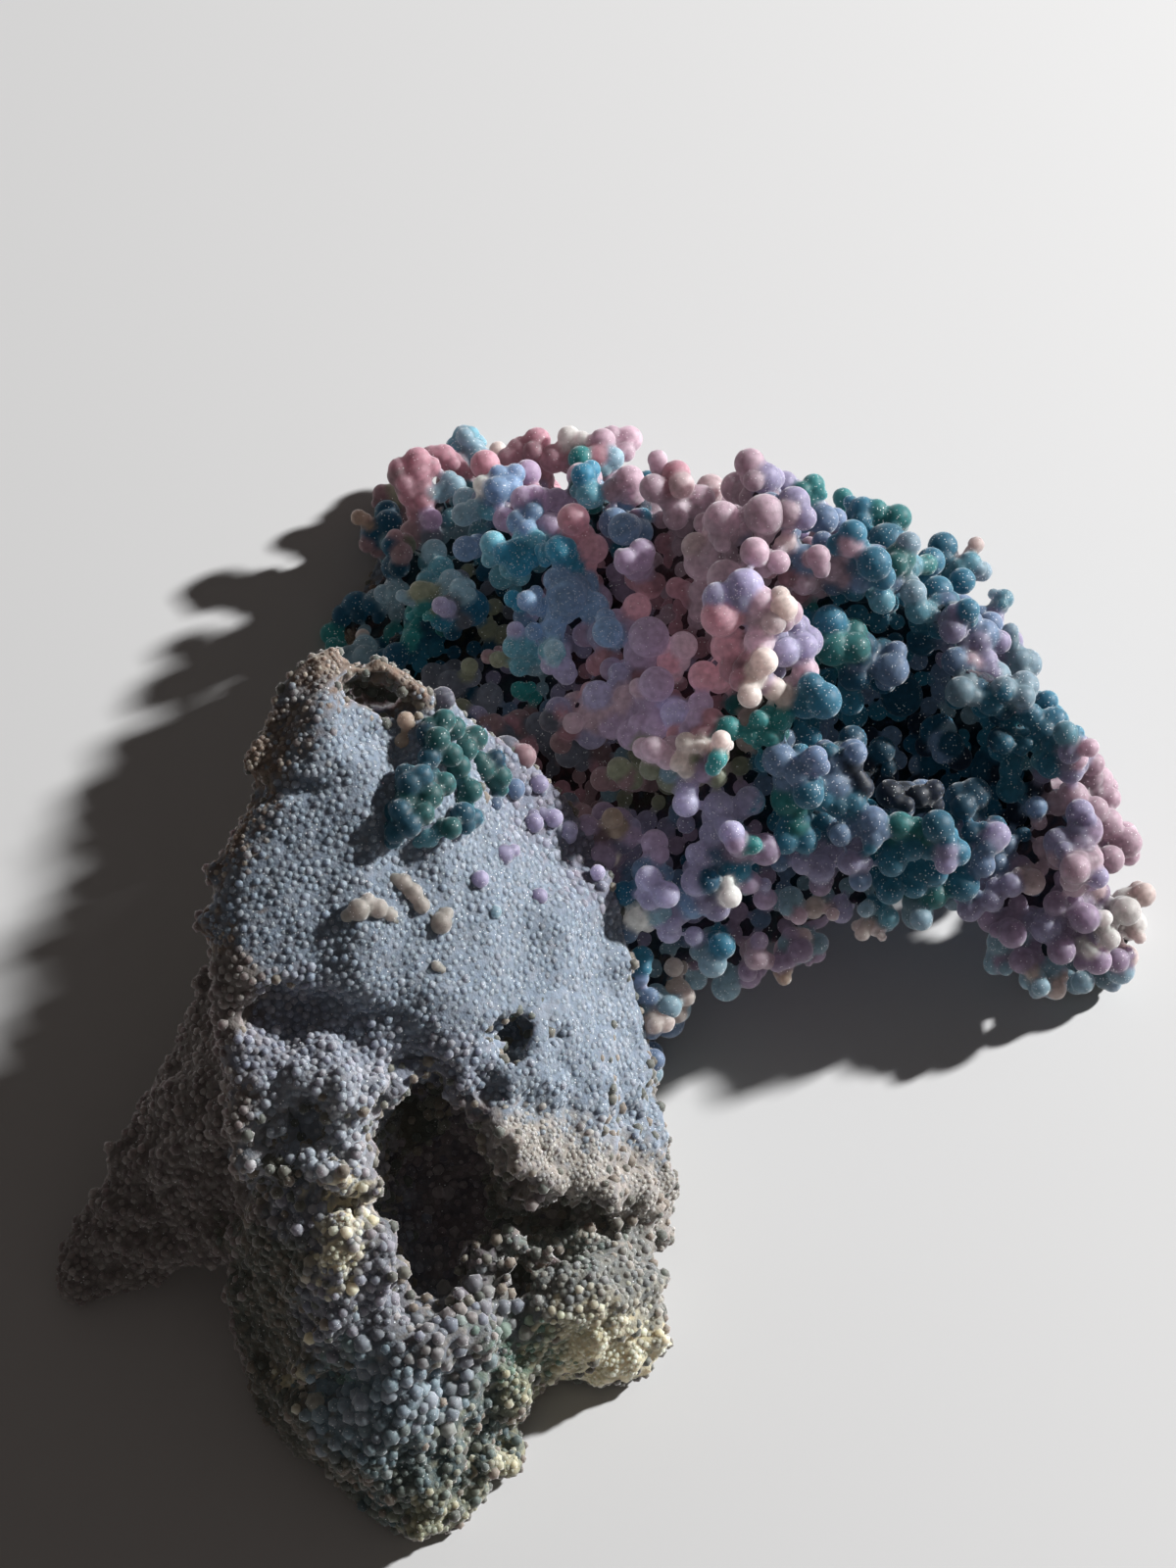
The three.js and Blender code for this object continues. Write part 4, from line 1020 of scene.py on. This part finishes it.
def grape_balls(skin, stone):
    """The fused balls of the crust and of the bunch on the sheet, in one piece for each part of the crust."""
    random = np.random.default_rng(SEEDS["balls"])
    skin_tree = tree_of(skin)
    rock_tree = tree_of(stone)
    leaders = leading_balls(skin_tree, rock_tree, random)
    fillers = filling_balls(skin, rock_tree, leaders[0], leaders[1], random)
    bunch = bunch_balls(rock_tree, random)
    tips, tip_radii, tip_tints = (np.concatenate(parts) for parts in zip(leaders, fillers, bunch))
    places, radii, tints = grow_stalks(tips, tip_radii, tip_tints, rock_tree, random)
    ground = mm_points(stone.data)
    seen_low = in_crust(ground) & (facing(ground, mm_normals(stone.data)) > 0.05)
    low = spread_seeds(stone, seen_low.astype(float), LOW_SPACING, SEEDS["low"])
    low_radii = LOW_RADIUS[0] + (LOW_RADIUS[1] - LOW_RADIUS[0]) * random.random(len(low))
    low[:, 2] = np.maximum(low[:, 2], low_radii)
    places = np.vstack([places, low])
    radii = np.concatenate([radii, low_radii])
    # Painted shade: the low balls deep in the crust are darker by 0.7.
    tints = np.vstack([tints, patch_tints(low, random) * 0.7])
    pieces = []
    for part, (west, east) in PARTS_OF_CRUST.items():
        mine = (places[:, 0] >= west) & (places[:, 0] < east)
        cloud = ball_cloud("cloud", places[mine], radii[mine], tints[mine], 3)
        balls = add_object(f"grape_balls_{part}", cloud.data.copy())
        remesh(balls, BALL_VOXEL, 0)
        run_nodes(balls, TRUE_ROUND, Balls=cloud)
        bpy.data.objects.remove(cloud)
        pieces.append(balls)
    return pieces


def beads(stone):
    """The fine beads on everything that isn't crust, in four joined meshes."""
    random = np.random.default_rng(SEEDS["beads"])
    points = mm_points(stone.data)
    share = ~in_crust(points, 0.8) & (points[:, 2] > 0.5)
    places = spread_seeds(stone, share.astype(float), BEAD_SEEDING, SEEDS["grains"])
    finder = tree_of(stone)
    normals = np.array([finder.find_nearest(Vector(place))[1] for place in metres(places)])
    names = ground_of(places, normals, random, 0.7)
    grounds = [GROUNDS[name] for name in names]
    spacings = np.array([ground.spacing for ground in grounds])
    hidden = facing(places, normals) < TURNED_AWAY
    spacings[hidden] *= 1.5
    kept = thin_out(places, spacings * (0.85 + 0.3 * random.random(len(places))), random)
    places, normals, names, hidden = places[kept], normals[kept], names[kept], hidden[kept]
    grounds = [GROUNDS[name] for name in names]
    least = np.array([ground.least for ground in grounds])
    most = np.array([ground.most for ground in grounds])
    sizes = least + (most - least) * random.random(len(names)) ** 1.5
    sizes[hidden] *= 1.45
    tints = ground_tints(places, names, random) * (0.85 + 0.3 * random.random((len(names), 1)))
    sunk = np.array([ground.sunk for ground in grounds]) + 0.3 * (random.random(len(sizes)) - 0.5)
    places = places - normals * (sizes * sunk)[:, None]
    places[:, 2] = np.maximum(places[:, 2], sizes)
    above = seen(places)[:, 1]
    parts = {
        "beads_sheet_west": ~hidden & (above > -27) & (places[:, 0] < -18),
        "beads_sheet_east": ~hidden & (above > -27) & (places[:, 0] >= -18),
        "beads_body": ~hidden & (above <= -27),
        "beads_flanks": hidden,
    }
    return [ball_cloud(part, places[mine], sizes[mine], tints[mine], 1) for part, mine in parts.items()]


# Materials


def principled(name):
    material = bpy.data.materials.new(name)
    material.use_nodes = True
    return material, material.node_tree, material.node_tree.nodes["Principled BSDF"]


def number_step(tree, operation, first, second):
    """A Math node: its inputs are sockets or plain numbers."""
    node = tree.nodes.new("ShaderNodeMath")
    node.operation = operation
    for socket, value in zip(node.inputs, (first, second)):
        if isinstance(value, (int, float)):
            socket.default_value = value
        else:
            tree.links.new(value, socket)
    return node.outputs[0]


def mottle_and_glint_group():
    """A fine mottle with painted glints, white specks in the colour, most of them where it is blue: colour,
    roughness and height.
    """
    tree = bpy.data.node_groups.new("mottle_and_painted_glints", "ShaderNodeTree")
    for side, labels in (
        ("INPUT", ("Grains per metre", "Amount", "Softness", "Colour")),
        ("OUTPUT", ("Colour", "Roughness", "Height")),
    ):
        for label in labels:
            kind = "Color" if label == "Colour" else "Float"
            tree.interface.new_socket(label, in_out=side, socket_type=f"NodeSocket{kind}")
    given = tree.nodes.new("NodeGroupInput")
    made = tree.nodes.new("NodeGroupOutput")
    where = tree.nodes.new("ShaderNodeTexCoord")
    grains = tree.nodes.new("ShaderNodeTexVoronoi")
    pick = tree.nodes.new("ShaderNodeSeparateColor")
    tone = tree.nodes.new("ShaderNodeSeparateColor")
    mottle = tree.nodes.new("ShaderNodeTexNoise")
    mottle.inputs["Scale"].default_value = 1400
    mottle.inputs["Detail"].default_value = 3
    tree.links.new(where.outputs["Object"], grains.inputs["Vector"])
    tree.links.new(where.outputs["Object"], mottle.inputs["Vector"])
    tree.links.new(given.outputs["Grains per metre"], grains.inputs["Scale"])
    tree.links.new(grains.outputs["Color"], pick.inputs["Color"])
    tree.links.new(given.outputs["Colour"], tone.inputs["Color"])
    blue = number_step(tree, "SUBTRACT", tone.outputs["Blue"], tone.outputs["Red"])
    blue = number_step(tree, "MULTIPLY", number_step(tree, "MAXIMUM", blue, 0), 0.8)
    amount = number_step(tree, "ADD", given.outputs["Amount"], blue)
    rare = number_step(tree, "LESS_THAN", pick.outputs["Red"], amount)
    small = number_step(tree, "LESS_THAN", grains.outputs["Distance"], 0.28)
    painted_glint_mask = number_step(tree, "MULTIPLY", rare, small)
    shade = tree.nodes.new("ShaderNodeMapRange")
    shade.inputs["To Min"].default_value = 0.8
    shade.inputs["To Max"].default_value = 1.2
    shade.inputs["From Min"].default_value = 0.3
    shade.inputs["From Max"].default_value = 0.7
    tree.links.new(mottle.outputs["Fac"], shade.inputs["Value"])
    toned = tree.nodes.new("ShaderNodeVectorMath")
    toned.operation = "SCALE"
    tree.links.new(given.outputs["Colour"], toned.inputs[0])
    tree.links.new(shade.outputs["Result"], toned.inputs["Scale"])
    # Painted glints: white specks mixed into the colour where light would glint off crystal faces.
    mix = tree.nodes.new("ShaderNodeMix")
    mix.data_type = "RGBA"
    mix.inputs["B"].default_value = (1, 1, 1, 1)
    tree.links.new(painted_glint_mask, mix.inputs["Factor"])
    tree.links.new(toned.outputs["Vector"], mix.inputs["A"])
    tree.links.new(mix.outputs["Result"], made.inputs["Colour"])
    gloss = number_step(tree, "MULTIPLY", painted_glint_mask, -0.3)
    tree.links.new(number_step(tree, "ADD", given.outputs["Softness"], gloss), made.inputs["Roughness"])
    height = number_step(tree, "ADD", grains.outputs["Distance"], mottle.outputs["Fac"])
    tree.links.new(height, made.inputs["Height"])
    return tree


MOTTLE_AND_GLINTS = mottle_and_glint_group()


def crystal_finish(name, grains, amount, softness, subsurface, depth, sheen, relief, painted_glow):
    """Translucent chalcedony in the piece's tints, with painted glints and a faint painted light: the tints are
    also given out as emission.
    """
    material, tree, shader = principled(name)
    tint = tree.nodes.new("ShaderNodeAttribute")
    tint.attribute_name = "tint"
    mottle_and_glints = tree.nodes.new("ShaderNodeGroup")
    mottle_and_glints.node_tree = MOTTLE_AND_GLINTS
    for label, value in (("Grains per metre", grains), ("Amount", amount), ("Softness", softness)):
        mottle_and_glints.inputs[label].default_value = value
    bump = tree.nodes.new("ShaderNodeBump")
    bump.inputs["Strength"].default_value = relief
    bump.inputs["Distance"].default_value = 0.08 * MM
    tree.links.new(tint.outputs["Color"], mottle_and_glints.inputs["Colour"])
    tree.links.new(mottle_and_glints.outputs["Colour"], shader.inputs["Base Color"])
    tree.links.new(mottle_and_glints.outputs["Roughness"], shader.inputs["Roughness"])
    tree.links.new(mottle_and_glints.outputs["Height"], bump.inputs["Height"])
    tree.links.new(bump.outputs["Normal"], shader.inputs["Normal"])
    # Painted light: the colour is also given out as a faint emission, which lifts the shaded sides.
    tree.links.new(mottle_and_glints.outputs["Colour"], shader.inputs["Emission Color"])
    for label, value in (
        ("Subsurface Weight", subsurface), ("Subsurface Radius", (1.0, 0.85, 0.9)),
        ("Subsurface Scale", depth * MM), ("IOR", 1.54), ("Specular IOR Level", 0.3),
        ("Emission Strength", painted_glow), ("Sheen Weight", sheen), ("Sheen Roughness", 0.4),
    ):
        shader.inputs[label].default_value = value
    return material


# The studio


def floor():
    shape = bmesh.new()
    bmesh.ops.create_grid(shape, x_segments=1, y_segments=1, size=2.5)
    mesh = bpy.data.meshes.new("floor")
    shape.to_mesh(mesh)
    shape.free()
    ground = add_object("floor", mesh)
    material, _, shader = principled("pale_floor")
    shader.inputs["Base Color"].default_value = (*linear((223, 223, 223)), 1)
    shader.inputs["Roughness"].default_value = 0.8
    shader.inputs["Specular IOR Level"].default_value = 0.2
    mesh.materials.append(material)


def key_light(azimuth, elevation, distance, size, power):
    """A square light that faces the specimen. Azimuth 0 is on the right, and 90 is behind."""
    light = bpy.data.lights.new("key", "AREA")
    light.size = size
    light.energy = power
    lamp = bpy.data.objects.new("key", light)
    bpy.context.scene.collection.objects.link(lamp)
    azimuth = math.radians(azimuth)
    elevation = math.radians(elevation)
    toward = Vector((
        math.cos(elevation) * math.cos(azimuth), math.cos(elevation) * math.sin(azimuth), math.sin(elevation)
    ))
    lamp.location = toward * distance
    lamp.rotation_mode = "QUATERNION"
    lamp.rotation_quaternion = toward.to_track_quat("Z", "Y")


def studio():
    floor()
    key_light(azimuth=25, elevation=26, distance=1.2, size=0.06, power=28.8)
    world = bpy.data.worlds.new("soft_fill")
    world.use_nodes = True
    fill = world.node_tree.nodes["Background"]
    fill.inputs["Color"].default_value = (1.0, 0.88, 0.82, 1)
    fill.inputs["Strength"].default_value = 0.055
    bpy.context.scene.world = world
    bpy.context.scene.view_settings.view_transform = "Standard"


def camera():
    lens = bpy.data.cameras.new("camera")
    lens.lens = LENS
    lens.sensor_width = 36
    lens.clip_start = 0.01
    eye = bpy.data.objects.new("camera", lens)
    bpy.context.scene.collection.objects.link(eye)
    eye.location = metres(EYE)
    eye.rotation_mode = "QUATERNION"
    eye.rotation_quaternion = Vector(BACK).to_track_quat("Z", "Y")
    bpy.context.scene.camera = eye


def finish_piece(piece, material):
    piece.data.materials.clear()
    piece.data.materials.append(material)
    piece.data.shade_smooth()
    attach(piece, "root")
    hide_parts(NODE)


camera()
studio()
skin = cad_skin()
stone = rough_stone(skin)
balls = grape_balls(skin, stone)
druse = beads(stone)
tint_stone(stone)
ball_finish = crystal_finish(
    "grape_chalcedony", grains=6500, amount=0.04, softness=0.55, subsurface=1.0, depth=6.0, sheen=0.4,
    relief=0.2, painted_glow=0.17,
)
bead_finish = crystal_finish(
    "bead_druse", grains=7500, amount=0.03, softness=0.6, subsurface=1.0, depth=2.5, sheen=0.4,
    relief=0.2, painted_glow=0.04,
)
rock_finish = crystal_finish(
    "host_rock", grains=4000, amount=0.02, softness=0.8, subsurface=0.8, depth=1.5, sheen=0.2,
    relief=0.8, painted_glow=0.03,
)
for pieces, finish in ((balls, ball_finish), (druse, bead_finish), ([stone], rock_finish)):
    for piece in pieces:
        finish_piece(piece, finish)
bpy.data.objects.remove(skin)
